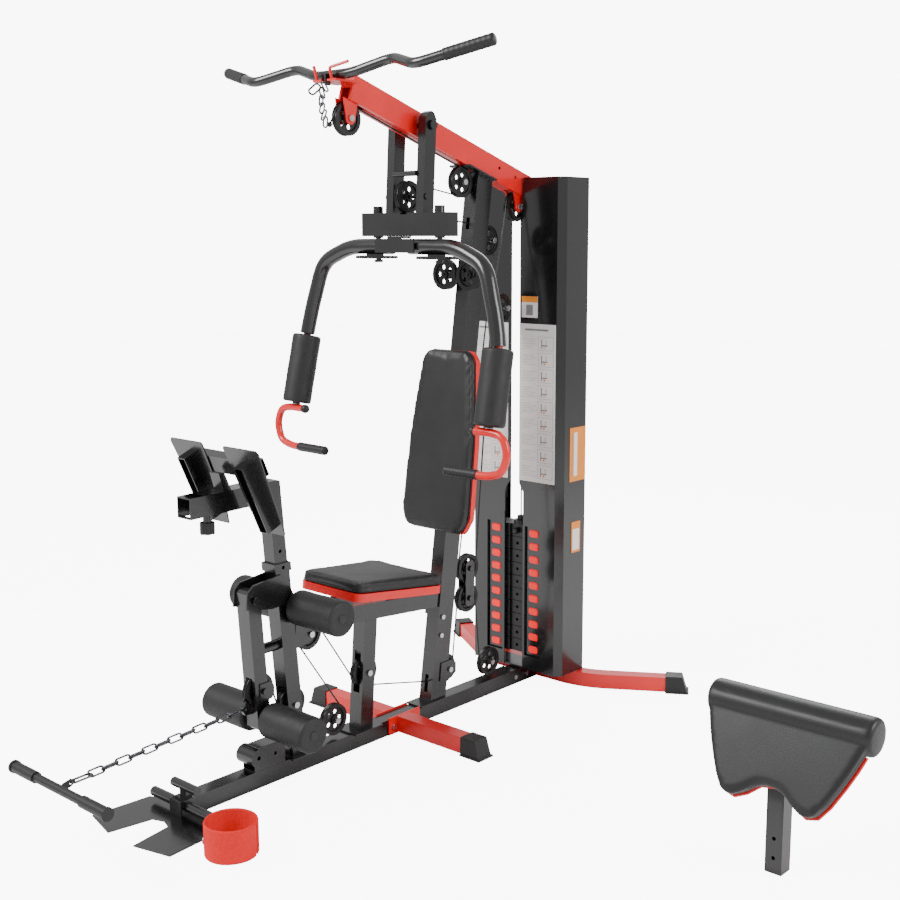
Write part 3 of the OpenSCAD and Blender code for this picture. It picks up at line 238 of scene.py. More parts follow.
def lathe(name, profile, mat, origin, axis, sides=72, wobble=0.0):
    """A closed turned form: profile is (along, radius) pairs from one end of the axis to the other."""
    axis = Vector(axis).normalized()
    side = axis.orthogonal().normalized()
    third = axis.cross(side)
    verts = []
    for h, r in profile:
        for k in range(sides):
            a = TURN * k / sides
            rr = r
            if wobble:
                rr += wobble * noise.noise(Vector((math.cos(a) * 2.2, math.sin(a) * 2.2, h * 22)))
            verts.append(Vector(origin) + axis * h + (side * math.cos(a) + third * math.sin(a)) * rr)
    return new_mesh(name, verts, tube_faces(len(profile), sides), mat)


def sleeve(length, shoulder, inner, rise, steps):
    """The outer skin of a foam sleeve: a rounded shoulder, a straight run and a second shoulder."""
    turn = [math.pi / 2 * k / 6 for k in range(7)]
    skin = [(shoulder - shoulder * math.cos(a), inner + rise * math.sin(a)) for a in turn]
    skin += [(shoulder + (length - 2 * shoulder) * k / steps, inner + rise)
             for k in range(1, steps)]
    skin += [(length - shoulder + shoulder * math.cos(a), inner + rise * math.sin(a))
             for a in turn[::-1]]
    return skin


def ball_profile(radius, steps):
    """A turned ball; its ends stay open by a hair so that no point is doubled."""
    return [(-radius * math.cos(math.pi * k / steps),
             max(0.0006, radius * math.sin(math.pi * k / steps))) for k in range(steps + 1)]


def plate(name, lo, hi, mat, soft=0.0006):
    """A thin sheet or block with softened edges."""
    (a, b, c), (d, e, f) = lo, hi
    v = [(a, b, c), (d, b, c), (d, e, c), (a, e, c), (a, b, f), (d, b, f), (d, e, f), (a, e, f)]
    o = new_mesh(name, v, [(0, 3, 2, 1), (4, 5, 6, 7), (0, 1, 5, 4), (1, 2, 6, 5), (2, 3, 7, 6),
                           (3, 0, 4, 7)], mat, shade=False)
    smooth(o)
    bevel(o, soft, 2)
    return o


def join(name, objs):
    """One object from several, with their modifiers applied."""
    dg = bpy.context.evaluated_depsgraph_get()
    verts, faces, mats, idx = [], [], [], []
    for o in objs:
        me = o.evaluated_get(dg).to_mesh()
        base = len(verts)
        verts.extend([o.matrix_world @ v.co for v in me.vertices])
        for p in me.polygons:
            faces.append([base + i for i in p.vertices])
            m = o.data.materials[0]
            if m not in mats:
                mats.append(m)
            idx.append(mats.index(m))
        o.evaluated_get(dg).to_mesh_clear()
    me = bpy.data.meshes.new(name)
    me.from_pydata([tuple(v) for v in verts], [], faces)
    me.update()
    for m in mats:
        me.materials.append(m)
    for p, i in zip(me.polygons, idx):
        p.material_index = i
        p.use_smooth = True
    out = bpy.data.objects.new(name, me)
    scene.collection.objects.link(out)
    for o in objs:
        bpy.data.objects.remove(o)
    out.modifiers.new("shade", "WEIGHTED_NORMAL")
    return out


# ---------------------------------------------------------------- carried-over CAD pieces
carried("front_rail rear_rail main_upright seat_frame developer_post", "black", 0.0035, 3)
carried("foot_rest lever_bumper leg_lever tablet_rest curl_post float_block", "black", 0.0016)
carried("stack_frame", "black", 0.0012)
carried("press_frame", "black", 0.0022, 3)
carried("front_stabilizer rear_stabilizer top_boom", "red", 0.0030, 3)
carried("end_caps", "plastic", 0.0030, 3)
carried("rest_knob", "plastic", 0.0020, 3)
carried("shroud_left shroud_right", "sheet", 0.0010, 2)
carried("guide_rods", "chrome", 0.0010)
carried("frame_bolts", "silver", 0.0012, 3)
carried("selector_pin", "plastic", 0.0010, 2)
carried("weight_plates top_plate", "plate", 0.0024, 3)
carried("seat_board back_board curl_board", "board", 0.0030, 3)
carried("pulley_boom_front pulley_boom_rear pulley_upright_top pulley_press float_pulleys "
        "pulley_rear_rail pulley_upright_foot pulley_seat_post pulley_front_base "
        "pulley_developer pulley_lever pulleys_fly idler_pulleys", "nylon", 0.0009, 2)


# ---------------------------------------------------------------- bars and arms
def mm(points):
    return [Vector(p) * MM for p in points]


pad_top = Vector((398, -216, 1208)) * MM
pad_low = Vector((404, -262, 996)) * MM
pad_dir = (pad_low - pad_top).normalized()
handle_path = rounded(mm([(358, -271, 980), (421, -272, 982), (464, -273, 974), (482, -275, 924),
                          (464, -277, 872), (412, -278, 858), (372, -278, 858)]), 0.022, 8)
for side, body in ((1, "right_arm"), (-1, "left_arm")):
    tag = body.split("_")[0]

    def flip(points, s=side):
        return [Vector((p[0] * s, p[1], p[2])) for p in points]
    arm = NODES["arm_" + tag]
    arm.data.materials.clear()
    arm.data.materials.append(MAT["black"])
    smooth(arm)
    wd = arm.modifiers.new("weld", "WELD")
    wd.merge_threshold = WELD
    bevel(arm, 0.0015, 2, 32)
    # foam sleeve: soft shoulders and a slightly uneven skin
    ln = (pad_low - pad_top).length
    prof = [(0.0, 0.014), (0.0, 0.036)] + sleeve(ln, 0.008, 0.037, 0.0078, 26)
    prof += [(ln, 0.036), (ln, 0.014)]
    foam = lathe("arm_foam_" + tag, prof, "foam", flip([pad_top])[0], flip([pad_dir])[0], 72, 0.0006)
    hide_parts("arm_pad_" + tag)
    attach(foam, body)
    # red bent handle with its black grip and plated ring
    bend = sweep("handle_bend", flip(handle_path), 0.0115, "red", 28, (0, 1, 0.2))
    rod = sweep("handle_rod", flip([pad_top - pad_dir * 0.018, pad_low + pad_dir * 0.002,
                                    pad_low + pad_dir * 0.0135]), 0.0118, "red", 28, (0, 1, 0.2))
    bar = join("handle_bar_" + tag, [bend, rod])
    g0, g1 = flip(mm([(376, -278, 858), (251.5, -278, 857)]))
    gd = (g1 - g0).normalized()
    gl = (g1 - g0).length
    gp = [(0, 0.0122), (0.0008, 0.0138), (0.003, 0.0144)]
    for k in range(1, 30):
        gp.append((0.003 + (gl - 0.010) * k / 30, 0.0143 - (0.0007 if k % 3 == 1 else 0)))
    gp += [(gl - 0.006, 0.0144), (gl - 0.0025, 0.0134), (gl - 0.0006, 0.0105), (gl, 0.006)]
    grip = lathe("handle_grip_" + tag, gp, "grip", g0, gd, 48)
    ball = lathe("handle_ball_" + tag, ball_profile(0.0139, 20), "grip",
                 flip(mm([(353, -271, 980)]))[0], (1, 0, 0), 40)
    collar = lathe("handle_collar_" + tag, [(0, 0.0119), (0.0005, 0.0126), (0.0085, 0.0126),
                                            (0.0092, 0.0120), (0.0092, 0.0118)], "silver",
                   flip([pad_low + pad_dir * 0.0004])[0], flip([pad_dir])[0], 48)
    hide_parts("handle_" + tag)
    for o in (bar, grip, ball, collar):
        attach(o, body)


# ---------------------------------------------------------------- leg rollers
def roller(name, x0, x1, y, z, body, node_name):
    """A foam roller on its tube: soft shoulders, a dished outer end with a plug."""
    s = 1 if x1 > x0 else -1
    ln = abs(x1 - x0)
    prof = [(0.0, 0.0128), (0.0, 0.040)] + sleeve(ln, 0.009, 0.0405, 0.0093, 20)
    prof += [(ln, 0.040), (ln - 0.001, 0.026), (ln - 0.002, 0.016)]
    foam = lathe(name, prof, "foam", (x0, y, z), (s, 0, 0), 84, 0.0006)
    plug = lathe(name + "_plug", [(0, 0.0126), (0.0022, 0.0126), (0.003, 0.0118), (0.0032, 0.008)],
                 "plastic", (x1 - s * 0.0035, y, z), (s, 0, 0), 40)
    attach(foam, body)
    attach(plug, body)
    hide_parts(node_name)


for tag, s in (("right", 1), ("left", -1)):
    roller("upper_roller_" + tag, s * 0.034, s * 0.216, -0.652, 0.492, "high_roller", "upper_rollers")
    roller("lower_roller_" + tag, s * 0.034, s * 0.216, -0.762, 0.192, "low_roller", "lower_rollers")


# ---------------------------------------------------------------- cushions
def round_outline(points, r, n=8):
    out = []
    p = [Vector((x, y, 0)) * MM for x, y in points]
    for i in range(len(p)):
        a, b, c = p[i - 1], p[i], p[(i + 1) % len(p)]
        t = min(r, 0.45 * (a - b).length, 0.45 * (c - b).length)
        u, v = b + (a - b).normalized() * t, b + (c - b).normalized() * t
        out += [lerp(lerp(u, b, k / n), lerp(b, v, k / n), k / n) for k in range(n + 1)]
    return out


def inset(points, d):
    c = sum(points, Vector()) / len(points)
    out = []
    for i, p in enumerate(points):
        t = (points[(i + 1) % len(points)] - points[i - 1])
        nrm = Vector((t.y, -t.x, 0))
        if nrm.length < 1e-9:
            nrm = p - c
        nrm.normalize()
        if nrm.dot(p - c) < 0:
            nrm = -nrm
        out.append(p - nrm * d)
    return out


def prism_mesh(name, loop, z0, z1, mat):
    n = len(loop)
    v = [Vector((p.x, p.y, z0)) for p in loop] + [Vector((p.x, p.y, z1)) for p in loop]
    f = [[i, (i + 1) % n, n + (i + 1) % n, n + i] for i in range(n)]
    f += [list(range(n - 1, -1, -1)), list(range(n, 2 * n))]
    return new_mesh(name, v, f, mat)


def apply_modifiers(o):
    dg = bpy.context.evaluated_depsgraph_get()
    me = bpy.data.meshes.new_from_object(o.evaluated_get(dg))
    o.modifiers.clear()
    o.data = me
    return o


def inflate(o, pinned, pressure, cap):
    """Voxel remesh, then a short cloth run under pressure, with its movement capped."""
    r = o.modifiers.new("voxels", "REMESH")
    r.mode = "VOXEL"
    r.voxel_size = 0.004
    apply_modifiers(o)
    rest = [v.co.copy() for v in o.data.vertices]
    g = o.vertex_groups.new(name="pin")
    g.add([v.index for v in o.data.vertices if pinned(v.co)], 1.0, "REPLACE")
    c = o.modifiers.new("cloth", "CLOTH")
    st = c.settings
    st.quality = 5
    st.mass = 0.3
    st.tension_stiffness = 25
    st.compression_stiffness = 25
    st.shear_stiffness = 8
    st.bending_stiffness = 0.8
    st.use_pressure = True
    st.uniform_pressure_force = pressure
    st.effector_weights.gravity = 0
    st.vertex_group_mass = "pin"
    for f in range(1, 21):
        scene.frame_set(f)
    dg = bpy.context.evaluated_depsgraph_get()
    ev = o.evaluated_get(dg).to_mesh()
    moved = [v.co.copy() for v in ev.vertices]
    o.modifiers.clear()
    for v, a, b in zip(o.data.vertices, rest, moved):
        d = b - a
        if d.length > cap:
            d = d.normalized() * cap
        v.co = a + d
    sm = o.modifiers.new("settle", "SMOOTH")
    sm.factor = 0.5
    sm.iterations = 4
    apply_modifiers(o)
    o.modifiers.new("fine", "SUBSURF").levels = 1
    o.modifiers["fine"].render_levels = 1
    smooth(o)
    return o


def seam(name, loop, z, r, mat, matrix):
    pts = [Vector((p.x, p.y, z)) for p in loop]
    n, s = len(pts), 8
    verts = []
    for i in range(n):
        d = (pts[(i + 1) % n] - pts[i - 1]).normalized()
        u = d.cross(Vector((0, 0, 1))).normalized()
        for k in range(s):
            a = TURN * k / s
            verts.append(pts[i] + u * (r * math.cos(a)) + Vector((0, 0, r * math.sin(a))))
    f = [[i * s + k, ((i + 1) % n) * s + k, ((i + 1) % n) * s + (k + 1) % s, i * s + (k + 1) % s]
         for i in range(n) for k in range(s)]
    o = new_mesh(name, verts, f, mat)
    o.data.transform(matrix)
    return o


def cushion(name, outline, corner, thick, matrix, body, node_name, pressure=4.0, crown=0.003):
    """A crowned vinyl cushion with a seam round its foot, placed by its matrix."""
    loop = round_outline(outline, corner)
    core = prism_mesh(name, inset(loop, 0.0012), 0.0004, thick - crown, "vinyl")
    foot = thick * 0.0875
    inflate(core, lambda co: co.z < foot, pressure, crown)
    for v in core.data.vertices:
        v.co.z = max(v.co.z, 0.0003)
    core.data.transform(matrix)
    piping = seam(name + "_seam", inset(loop, 0.0016), thick * 0.16, 0.0013, "vinyl", matrix)
    for o in (core, piping):
        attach(o, body)
    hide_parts(node_name)


deg = math.radians
seat_m = (Matrix.Translation((0, -0.175, 0.453)) @ Matrix.Rotation(deg(-6.2), 4, "X")
          @ Matrix.Translation((0, 0, 0.0243)))
cushion("seat_pad", [(-126, -338), (126, -338), (154, 0), (-154, 0)], 0.036, 0.032, seat_m,
        "frame", "seat_cushion")
back_m = (Matrix.Translation((0, -0.104, 0.050)) @ Matrix.Rotation(deg(-7.95), 4, "X")
          @ Matrix.Translation((0, -0.0207, 0)) @ Matrix.Rotation(deg(90), 4, "X")
          @ Matrix.Translation((0, 0.556, 0)))
cushion("back_pad", [(-82, 569), (82, 569), (104, 540), (121, 400), (131, 286), (138, 50),
                     (112, 0), (-112, 0), (-138, 50), (-131, 286), (-121, 400), (-104, 540)],
        0.024, 0.027, back_m, "frame", "back_cushion")
curl_half = [(0, 52), (32, 46), (62, 20), (94, 4), (124, 12), (148, 46), (174, 100), (192, 143),
             (208, 190), (220, 232)]
curl_loop = curl_half + [(-x, y) for x, y in curl_half[:0:-1]]
curl_m = (Matrix.Translation((1.337, -0.363, 0.190)) @ Matrix.Rotation(deg(64.2), 4, "X")
          @ Matrix.Translation((0, 0, -0.034)))


def add_roll(core):
    """The rolled top edge of the curl pad, joined to its slab before the remesh."""
    s, n = 40, len(core.data.vertices)
    verts = [v.co.copy() for v in core.data.vertices]
    faces = [list(p.vertices) for p in core.data.polygons]
    rings = [(-0.217, 0.030), (-0.2165, 0.038), (-0.213, 0.0445), (-0.206, 0.0475),
             (0.206, 0.0475), (0.213, 0.0445), (0.2165, 0.038), (0.217, 0.030)]
    for x, r in rings:
        for k in range(s):
            a = TURN * k / s
            verts.append(Vector((x, 0.232 + r * math.cos(a), -0.010 + r * math.sin(a))))
    for i in range(len(rings) - 1):
        faces += [[n + i * s + k, n + i * s + (k + 1) % s, n + (i + 1) * s + (k + 1) % s,
                   n + (i + 1) * s + k] for k in range(s)]
    end = n + (len(rings) - 1) * s
    faces += [[n + k for k in range(s - 1, -1, -1)], [end + k for k in range(s)]]
    me = bpy.data.meshes.new("curl_core")
    me.from_pydata([tuple(v) for v in verts], [], faces)
    me.materials.append(MAT["vinyl"])
    core.data = me


curl_core = prism_mesh("curl_pad_cushion", inset(round_outline(curl_loop, 0.022), 0.0035), 0.0004,
                       0.030, "vinyl")
add_roll(curl_core)
inflate(curl_core, lambda co: co.z < 0.004 and co.y < 0.17, 3.0, 0.0022)
curl_core.data.transform(curl_m)
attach(curl_core, "curl_pad")
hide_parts("curl_cushion")


# ---------------------------------------------------------------- lat bar
lat_points = mm([(-531, -392, 2007), (-320, -465, 1957), (-194, -412, 1990), (-70, -450, 1956),
                 (70, -450, 1956), (194, -412, 1990), (320, -465, 1957), (531, -392, 2007)])
lat = sweep("lat_bar_tube", rounded(lat_points, 0.032, 8), 0.014, "black", 32, (0, 1, 0))
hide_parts("lat_bar")
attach(lat, "lat")
for s in (-1, 1):
    a = Vector((s * 0.400, -0.4373, 1.976))
    b = Vector((s * 0.534, -0.391, 2.0078))
    d = (b - a).normalized()
    prof = [(0, 0.0142), (0.0006, 0.0155), (0.002, 0.0163)]
    for k in range(1, 36):
        prof.append((0.002 + 0.134 * k / 36, 0.0163 - (0.0006 if k % 4 == 2 else 0)))
    prof += [(0.138, 0.0165), (0.1415, 0.0158), (0.1440, 0.0135), (0.1448, 0.008)]
    g = lathe("lat_grip_" + ("r" if s > 0 else "l"), prof, "grip", a, d, 48)
    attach(g, "lat")
lug = plate("lat_bar_lug", (-0.003, -0.4835, 1.9262), (0.003, -0.464, 1.958), "black", 0.0015)
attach(lug, "lat")


# ---------------------------------------------------------------- chains
def link(centre, angle, roll, length, r, wire):
    """One closed link; its length lies along the heading angle in the Y-Z plane."""
    n, s = 28, 12
    verts = []
    for i in range(n):
        a = TURN * i / n
        cx = length / 2 if math.cos(a) >= 0 else -length / 2
        o = Vector((math.cos(a), math.sin(a), 0))
        c = Vector((cx, 0, 0)) + o * r
        for k in range(s):
            b = TURN * k / s
            verts.append(c + o * (wire * math.cos(b)) + Vector((0, 0, wire * math.sin(b))))
    f = [[i * s + k, i * s + (k + 1) % s, ((i + 1) % n) * s + (k + 1) % s, ((i + 1) % n) * s + k]
         for i in range(n) for k in range(s)]
    o = new_mesh("link", verts, f, "chain")
    m = (Matrix.Translation(centre) @ Matrix.Rotation(deg(angle), 4, "X")
         @ Matrix.Rotation(deg(90), 4, "Z") @ Matrix.Rotation(deg(roll), 4, "X"))
    o.data.transform(m)
    return o


a, b = Vector((0, -1.311, 0.203)), Vector((0, -0.838, 0.231))
ang = math.degrees(math.atan2(b.z - a.z, b.y - a.y))
row_links = [link(lerp(a, b, (i + 0.5) / 12), ang, 45 if i % 2 == 0 else -45, 0.027, 0.0088, 0.0029)
             for i in range(12)]
row_links.append(link(Vector((0, -1.333, 0.2002)), 2, 0, 0.040, 0.009, 0.0030))
row_chain = join("row_chain_links", row_links)
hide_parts("row_chain")
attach(row_chain, "row")
carried("row_bar", "grip", 0.0012, 2)

lat_links = [link(Vector((0, y, z)) * MM, h, 0 if i % 2 == 0 else 90, 0.015, 0.0072, 0.0026)
             for i, (y, z, h) in enumerate([(-484, 1922, -55), (-494, 1904, -70), (-498, 1884, -95),
                                            (-495, 1864, -105), (-489, 1846, -110),
                                            (-484, 1828, -95)])]
lat_links.append(link(Vector((0, -0.521, 1.912)), 35, 60, 0.024, 0.009, 0.0028))
lat_chain = join("lat_chain_links", lat_links)
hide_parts("lat_chain")
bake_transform(lat_chain)


# ---------------------------------------------------------------- cables
GR = 0.043  # radius of the cable's centre line on a pulley


def tangent(a, sa, b, sb):
    v = b - a
    phi = math.atan2(v.z, v.y)
    return phi - math.asin(GR * (sb - sa) / v.length)


def route(start, stops, end):
    """Straight runs and pulley arcs in turn, as lists of points."""
    pts = [(Vector(start), 0)] + [(Vector(c), s) for c, s in stops] + [(Vector(end), 0)]
    heads = [tangent(a[0], a[1], b[0], b[1]) for a, b in zip(pts, pts[1:])]
    runs, arcs, last = [], [], pts[0][0]
    for i in range(1, len(pts) - 1):
        c, s = pts[i]
        h0, h1 = heads[i - 1], heads[i]
        turn = (h1 - h0) % (2 * math.pi) if s > 0 else -((h0 - h1) % (2 * math.pi))
        a0 = h0 - math.pi / 2 * s
        n = max(3, int(abs(turn) / 0.12))
        arc = [c + Vector((0, GR * math.cos(a0 + turn * k / n), GR * math.sin(a0 + turn * k / n)))
               for k in range(n + 1)]
        runs.append([last, arc[0]])
        arcs.append(arc)
        last = arc[-1]
    runs.append([last, pts[-1][0]])
    return runs, arcs


def split(run, n=24):
    return [lerp(run[0], run[1], k / n) for k in range(n + 1)]


def cable_piece(name, points, body=None, blend=None):
    o = sweep(name, points, 0.0025, "coat", 12, (1, 0, 0))
    o.modifiers.clear()
    if blend:
        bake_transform(o)
    else:
        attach(o, body)
    return o


UP_STOPS = [((0, -.405, 1.842), -1), ((0, .072, 1.683), -1), ((0, -.163, 1.633), 1),
            ((0, .197, 1.505), -1), ((0, .099, .451), 1), ((0, .266, 1.288), -1),
            ((0, .337, 1.613), -1)]
stem = (0, .380, 0.565)
runs, arcs = route((0, -.466, 1.826), UP_STOPS, stem)
first = cable_piece("cable_boom", runs[0] + arcs[0][1:] + arcs[1][0:], "frame")
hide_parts("lat_cable")
cable_piece("cable_to_press", split(runs[2]), blend=("frame", "press"))
cable_piece("cable_on_press", arcs[2], "press")
cable_piece("cable_from_press", split(runs[3]), blend=("press", "frame"))
cable_piece("cable_behind_high", arcs[3], "frame")
cable_piece("cable_to_float", split(runs[4], 30), blend=("frame", "float"))
cable_piece("cable_on_float", arcs[4], "float")
cable_piece("cable_from_float", split(runs[5], 30), blend=("float", "frame"))
cable_piece("cable_rear", arcs[5] + arcs[6][0:], "frame")
cable_piece("cable_to_stack", split(runs[7], 30), blend=("frame", "lifted_stack"))
ball = lathe("cable_stop_ball", ball_profile(0.0075, 16), "nylon", (0, -0.468, 1.822),
             (0, 0.9, 0.4), 40)
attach(ball, "frame")

LOW_STOPS = [((0, -.776, .277), -1), ((0, -.661, .205), 1), ((0, -.498, .108), 1),
             ((0, -.592, .395), -1), ((0, -.372, .223), 1), ((0, -.016, .142), 1),
             ((0, .096, .352), -1), ((0, .206, .108), 1)]
runs, arcs = route((0, -.826, .252), LOW_STOPS, (0, .292, .066))
lead = cable_piece("cable_lever_end", runs[0] + arcs[0][1:], "lever")
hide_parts("low_cable")
cable_piece("cable_from_lever", split(runs[1]), blend=("lever", "frame"))
cable_piece("cable_low", arcs[1] + arcs[2] + arcs[3] + arcs[4] + arcs[5], "frame")
cable_piece("cable_up_to_float", split(runs[6]), blend=("frame", "float"))
cable_piece("cable_on_low_float", arcs[6], "float")
cable_piece("cable_down_from_float", split(runs[7]), blend=("float", "frame"))
cable_piece("cable_rear_end", arcs[7] + [runs[8][1]], "frame")


# ---------------------------------------------------------------- ankle cuff
def cuff():
    """The band: two walls of webbing with soft edges and a pressed line beside each edge."""
    n, rows, verts, faces = 110, 22, [], []
    ri, ro, h = 0.063, 0.0685, 0.0875
    for i in range(n + 1):
        a = deg(34 + 351 * i / n)
        wob = 0.0007 * math.sin(a * 3.0)
        for side in (0, 1):
            for k in range(rows + 1):
                t = k / rows
                z = 0.0006 + h * t
                edge = min(t, 1 - t) * h
                soft = 0.0016 * max(0, 1 - edge / 0.0025)
                stitch = 0.0005 if abs(edge - 0.007) < 0.0022 else 0
                r = (ro - soft - stitch + min(0, wob)) if side else (ri + soft + stitch)
                verts.append((0.269 + r * math.cos(a), -1.089 + r * math.sin(a), z))
    w = rows + 1

    def idx(i, side, k):
        return (i * 2 + side) * w + k
    for i in range(n):
        for k in range(rows):
            faces.append((idx(i, 1, k), idx(i + 1, 1, k), idx(i + 1, 1, k + 1), idx(i, 1, k + 1)))
            faces.append((idx(i, 0, k), idx(i, 0, k + 1), idx(i + 1, 0, k + 1), idx(i + 1, 0, k)))
        for k in (0, rows):
            q = (idx(i, 0, k), idx(i + 1, 0, k), idx(i + 1, 1, k), idx(i, 1, k))
            faces.append(q if k == 0 else q[::-1])
    for i in (0, n):
        for k in range(rows):
            q = (idx(i, 0, k), idx(i, 1, k), idx(i, 1, k + 1), idx(i, 0, k + 1))
            faces.append(q if i == 0 else q[::-1])
    o = new_mesh("ankle_cuff_band", verts, faces, "webbing")
    return o


band = cuff()
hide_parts("ankle_strap")
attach(band, "cuff")
place = Matrix.Translation((0.269, -1.089, 0)) @ Matrix.Rotation(deg(196), 4, "Z")
keeper = plate("cuff_keeper", (0.0695, -0.014, 0.018), (0.0735, 0.014, 0.032), "nylon", 0.0012)
keeper.data.transform(place)
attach(keeper, "cuff")
ring = link(Vector((0, 0, 0)), 0, 0, 0.014, 0.009, 0.0022)
ring.data.transform(place @ Matrix.Translation((0.0762, 0, 0.020)) @ Matrix.Rotation(deg(90), 4, "Y"))
ring.name = "cuff_ring"
ring.data.materials[0] = MAT["silver"]
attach(ring, "cuff")


# ---------------------------------------------------------------- blank placards and markers
def boxes(name, items):
    """Many thin printed areas as one object; items are (low, high, material)."""
    verts, faces, mats, idx = [], [], [], []
    for (a, b, c), (d, e, f), m in items:
        n = len(verts)
        verts += [(a, b, c), (d, b, c), (d, e, c), (a, e, c), (a, b, f), (d, b, f), (d, e, f), (a, e, f)]
        faces += [[n + i for i in q] for q in ((0, 3, 2, 1), (4, 5, 6, 7), (0, 1, 5, 4), (1, 2, 6, 5),
                                               (2, 3, 7, 6), (3, 0, 4, 7))]
        if m not in mats:
            mats.append(m)
        idx += [mats.index(m)] * 6
    me = bpy.data.meshes.new(name)
    me.from_pydata(verts, [], faces)
    for m in mats:
        me.materials.append(MAT[m])
    for p, i in zip(me.polygons, idx):
        p.material_index = i
    o = bpy.data.objects.new(name, me)
    scene.collection.objects.link(o)
    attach(o, "frame")
    return o


def placard(name, x0, x1, z0, z1):
    """A white board with plain bars and blank frames in place of its printing."""
    y = 0.3397
    items = [((x0, 0.3380, z0), (x1, y, z1), "white")]
    f0, f1 = 0.33755, 0.33805
    items.append(((x0 + 0.020, f0, z1 - 0.022), (x1 - 0.030, f1, z1 - 0.016), "grey"))
    for i in range(9):
        zb = z1 - 0.034 - (i + 1) * 0.053
        if zb < z0 + 0.004:
            break
        w = x1 - x0
        for k in range(5):
            ln = (0.40, 0.34, 0.42, 0.30, 0.22)[(k + i) % 5] * w
            row = zb + 0.036 - 0.0075 * k
            items.append(((x0 + 0.010, f0, row), (x0 + 0.010 + ln, f1, row + 0.0025), "pale"))
        bx = x0 + 0.52 * w
        far = bx + 0.43 * w
        spot = "orange" if i % 3 else "pale"
        for p0, z_low, p1, z_high, paint in (
                (bx, 0.002, far, 0.0028, "grey"), (bx, 0.046, far, 0.0468, "grey"),
                (bx, 0.0028, bx + 0.0008, 0.046, "grey"),
                (far - 0.0008, 0.0028, far, 0.046, "grey"),
                (bx + 0.012, 0.008, bx + 0.016, 0.038, "grey"),
                (bx + 0.016, 0.016, bx + 0.038, 0.020, "grey"),
                (bx + 0.030, 0.020, bx + 0.036, 0.036, "pale"),
                (bx + 0.022, 0.008, bx + 0.030, 0.014, spot)):
            items.append(((p0, f0, zb + z_low), (p1, f1, zb + z_high), paint))
    return boxes(name, items)


card = placard("placard_right", 0.026, 0.172, 0.712, 1.236)
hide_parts("label_panels")
placard("placard_left", -0.172, -0.026, 0.712, 1.236)
boxes("small_label", [((0.031, 0.3380, 1.256), (0.097, 0.3397, 1.325), "white"),
                      ((0.031, 0.3376, 1.306), (0.097, 0.3381, 1.325), "orange"),
                      ((0.050, 0.3376, 1.264), (0.078, 0.3381, 1.298), "grey")])
side_x = 0.1953
boxes("side_labels", [((side_x, 0.390, 0.717), (side_x + 0.0013, 0.474, 0.897), "orange"),
                      ((side_x + 0.0010, 0.400, 0.735), (side_x + 0.0016, 0.404, 0.880), "grey"),
                      ((side_x + 0.0010, 0.412, 0.735), (side_x + 0.0016, 0.430, 0.880), "white"),
                      ((side_x, 0.404, 0.474), (side_x + 0.0013, 0.452, 0.579), "orange"),
                      ((side_x + 0.0010, 0.410, 0.482), (side_x + 0.0016, 0.446, 0.554), "white")])
# The red plate markers use the emitting material, so their glow is painted light.
marks = []
for s in (-1, 1):
    for i in range(10):
        zc = 0.104 + 0.045 * i + 0.0235
        cx = s * 0.082
        out = [(-20, -8), (-14, -13), (14, -13), (20, -8), (20, 8), (14, 13), (-14, 13), (-20, 8)]
        v = [(cx + x * MM, 0.3476, zc + z * MM) for x, z in out]
        v += [(cx + x * MM * 0.86, 0.3432, zc + z * MM * 0.80) for x, z in out]
        f = [[8 + k, 8 + (k + 1) % 8, (k + 1) % 8, k] for k in range(8)]
        f += [list(range(8)), list(range(15, 7, -1))]
        m = new_mesh("mark", v, f, "painted_glow")
        bevel(m, 0.0012, 2)
        marks.append(m)
marks = join("plate_markers", marks)
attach(marks, "frame")


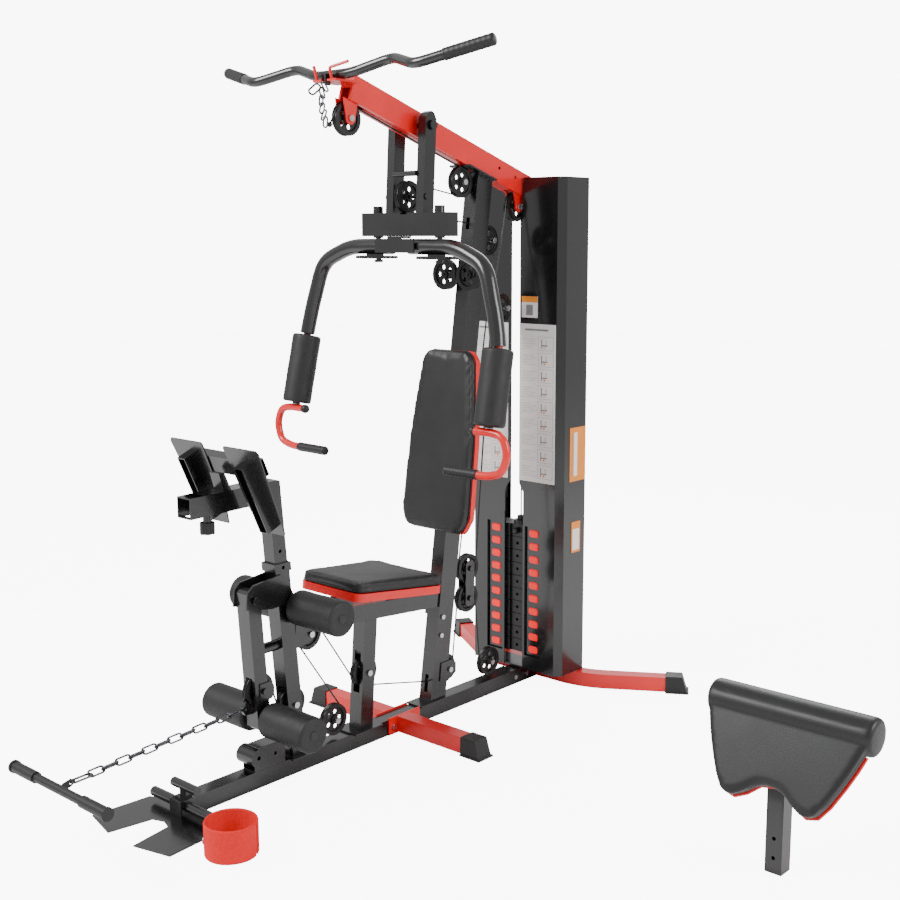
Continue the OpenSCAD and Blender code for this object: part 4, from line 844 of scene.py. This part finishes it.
# ---------------------------------------------------------------- floor, light and camera
floor = bpy.data.meshes.new("floor")
floor.from_pydata([(-14, -14, -0.0006), (14, -14, -0.0006), (14, 14, -0.0006), (-14, 14, -0.0006)], [],
                  [(0, 1, 2, 3)])
floor_obj = bpy.data.objects.new("floor", floor)
scene.collection.objects.link(floor_obj)
floor_mat = material("studio_floor", (0.95, 0.95, 0.95), 0.75, grain=0.01, scale=2, bump=0.02,
                     bump_scale=200)
floor.materials.append(floor_mat)


def seen_directly(tree, strength, lit):
    """A strength that applies to what the camera sees, with another for the light it gives."""
    path = tree.nodes.new("ShaderNodeLightPath")
    mix = tree.nodes.new("ShaderNodeMapRange")
    mix.inputs["To Min"].default_value = lit
    mix.inputs["To Max"].default_value = strength
    tree.links.new(path.outputs["Is Camera Ray"], mix.inputs["Value"])
    return mix.outputs["Result"]


shine = floor_mat.node_tree.nodes["Principled BSDF"]
shine.inputs["Emission Color"].default_value = (1, 1, 1, 1)
floor_mat.node_tree.links.new(seen_directly(floor_mat.node_tree, 8.0, 0.0),
                              shine.inputs["Emission Strength"])
world = bpy.data.worlds.new("studio")
world.use_nodes = True
sky = world.node_tree.nodes["Background"]
sky.inputs["Color"].default_value = (1, 1, 1, 1)
world.node_tree.links.new(seen_directly(world.node_tree, 9.0, 0.74), sky.inputs["Strength"])
scene.world = world


def area(name, at, target, size, power):
    d = bpy.data.lights.new(name, "AREA")
    d.energy = power
    d.size = size
    o = bpy.data.objects.new(name, d)
    o.location = at
    o.rotation_euler = (Vector(target) - Vector(at)).to_track_quat("-Z", "Y").to_euler()
    scene.collection.objects.link(o)


area("key", (-1.6, -3.6, 3.8), (0, -0.3, 1.0), 2.0, 230)
area("side", (4.2, 0.6, 2.6), (0, 0, 0.9), 2.0, 110)
area("back", (-1.0, 3.4, 3.0), (0, 0.2, 1.0), 2.4, 90)
cam = bpy.data.cameras.new("camera")
cam.lens = 51.16
cam.sensor_width = 36
cam.shift_x = -0.0289
cam.dof.use_dof = False
cam_obj = bpy.data.objects.new("camera", cam)
cam_obj.location = (2.6903, -2.9357, 1.5168)
cam_obj.rotation_euler = Vector((-0.6487, 0.7430, -0.1645)).to_track_quat("-Z", "Y").to_euler()
scene.collection.objects.link(cam_obj)
scene.camera = cam_obj
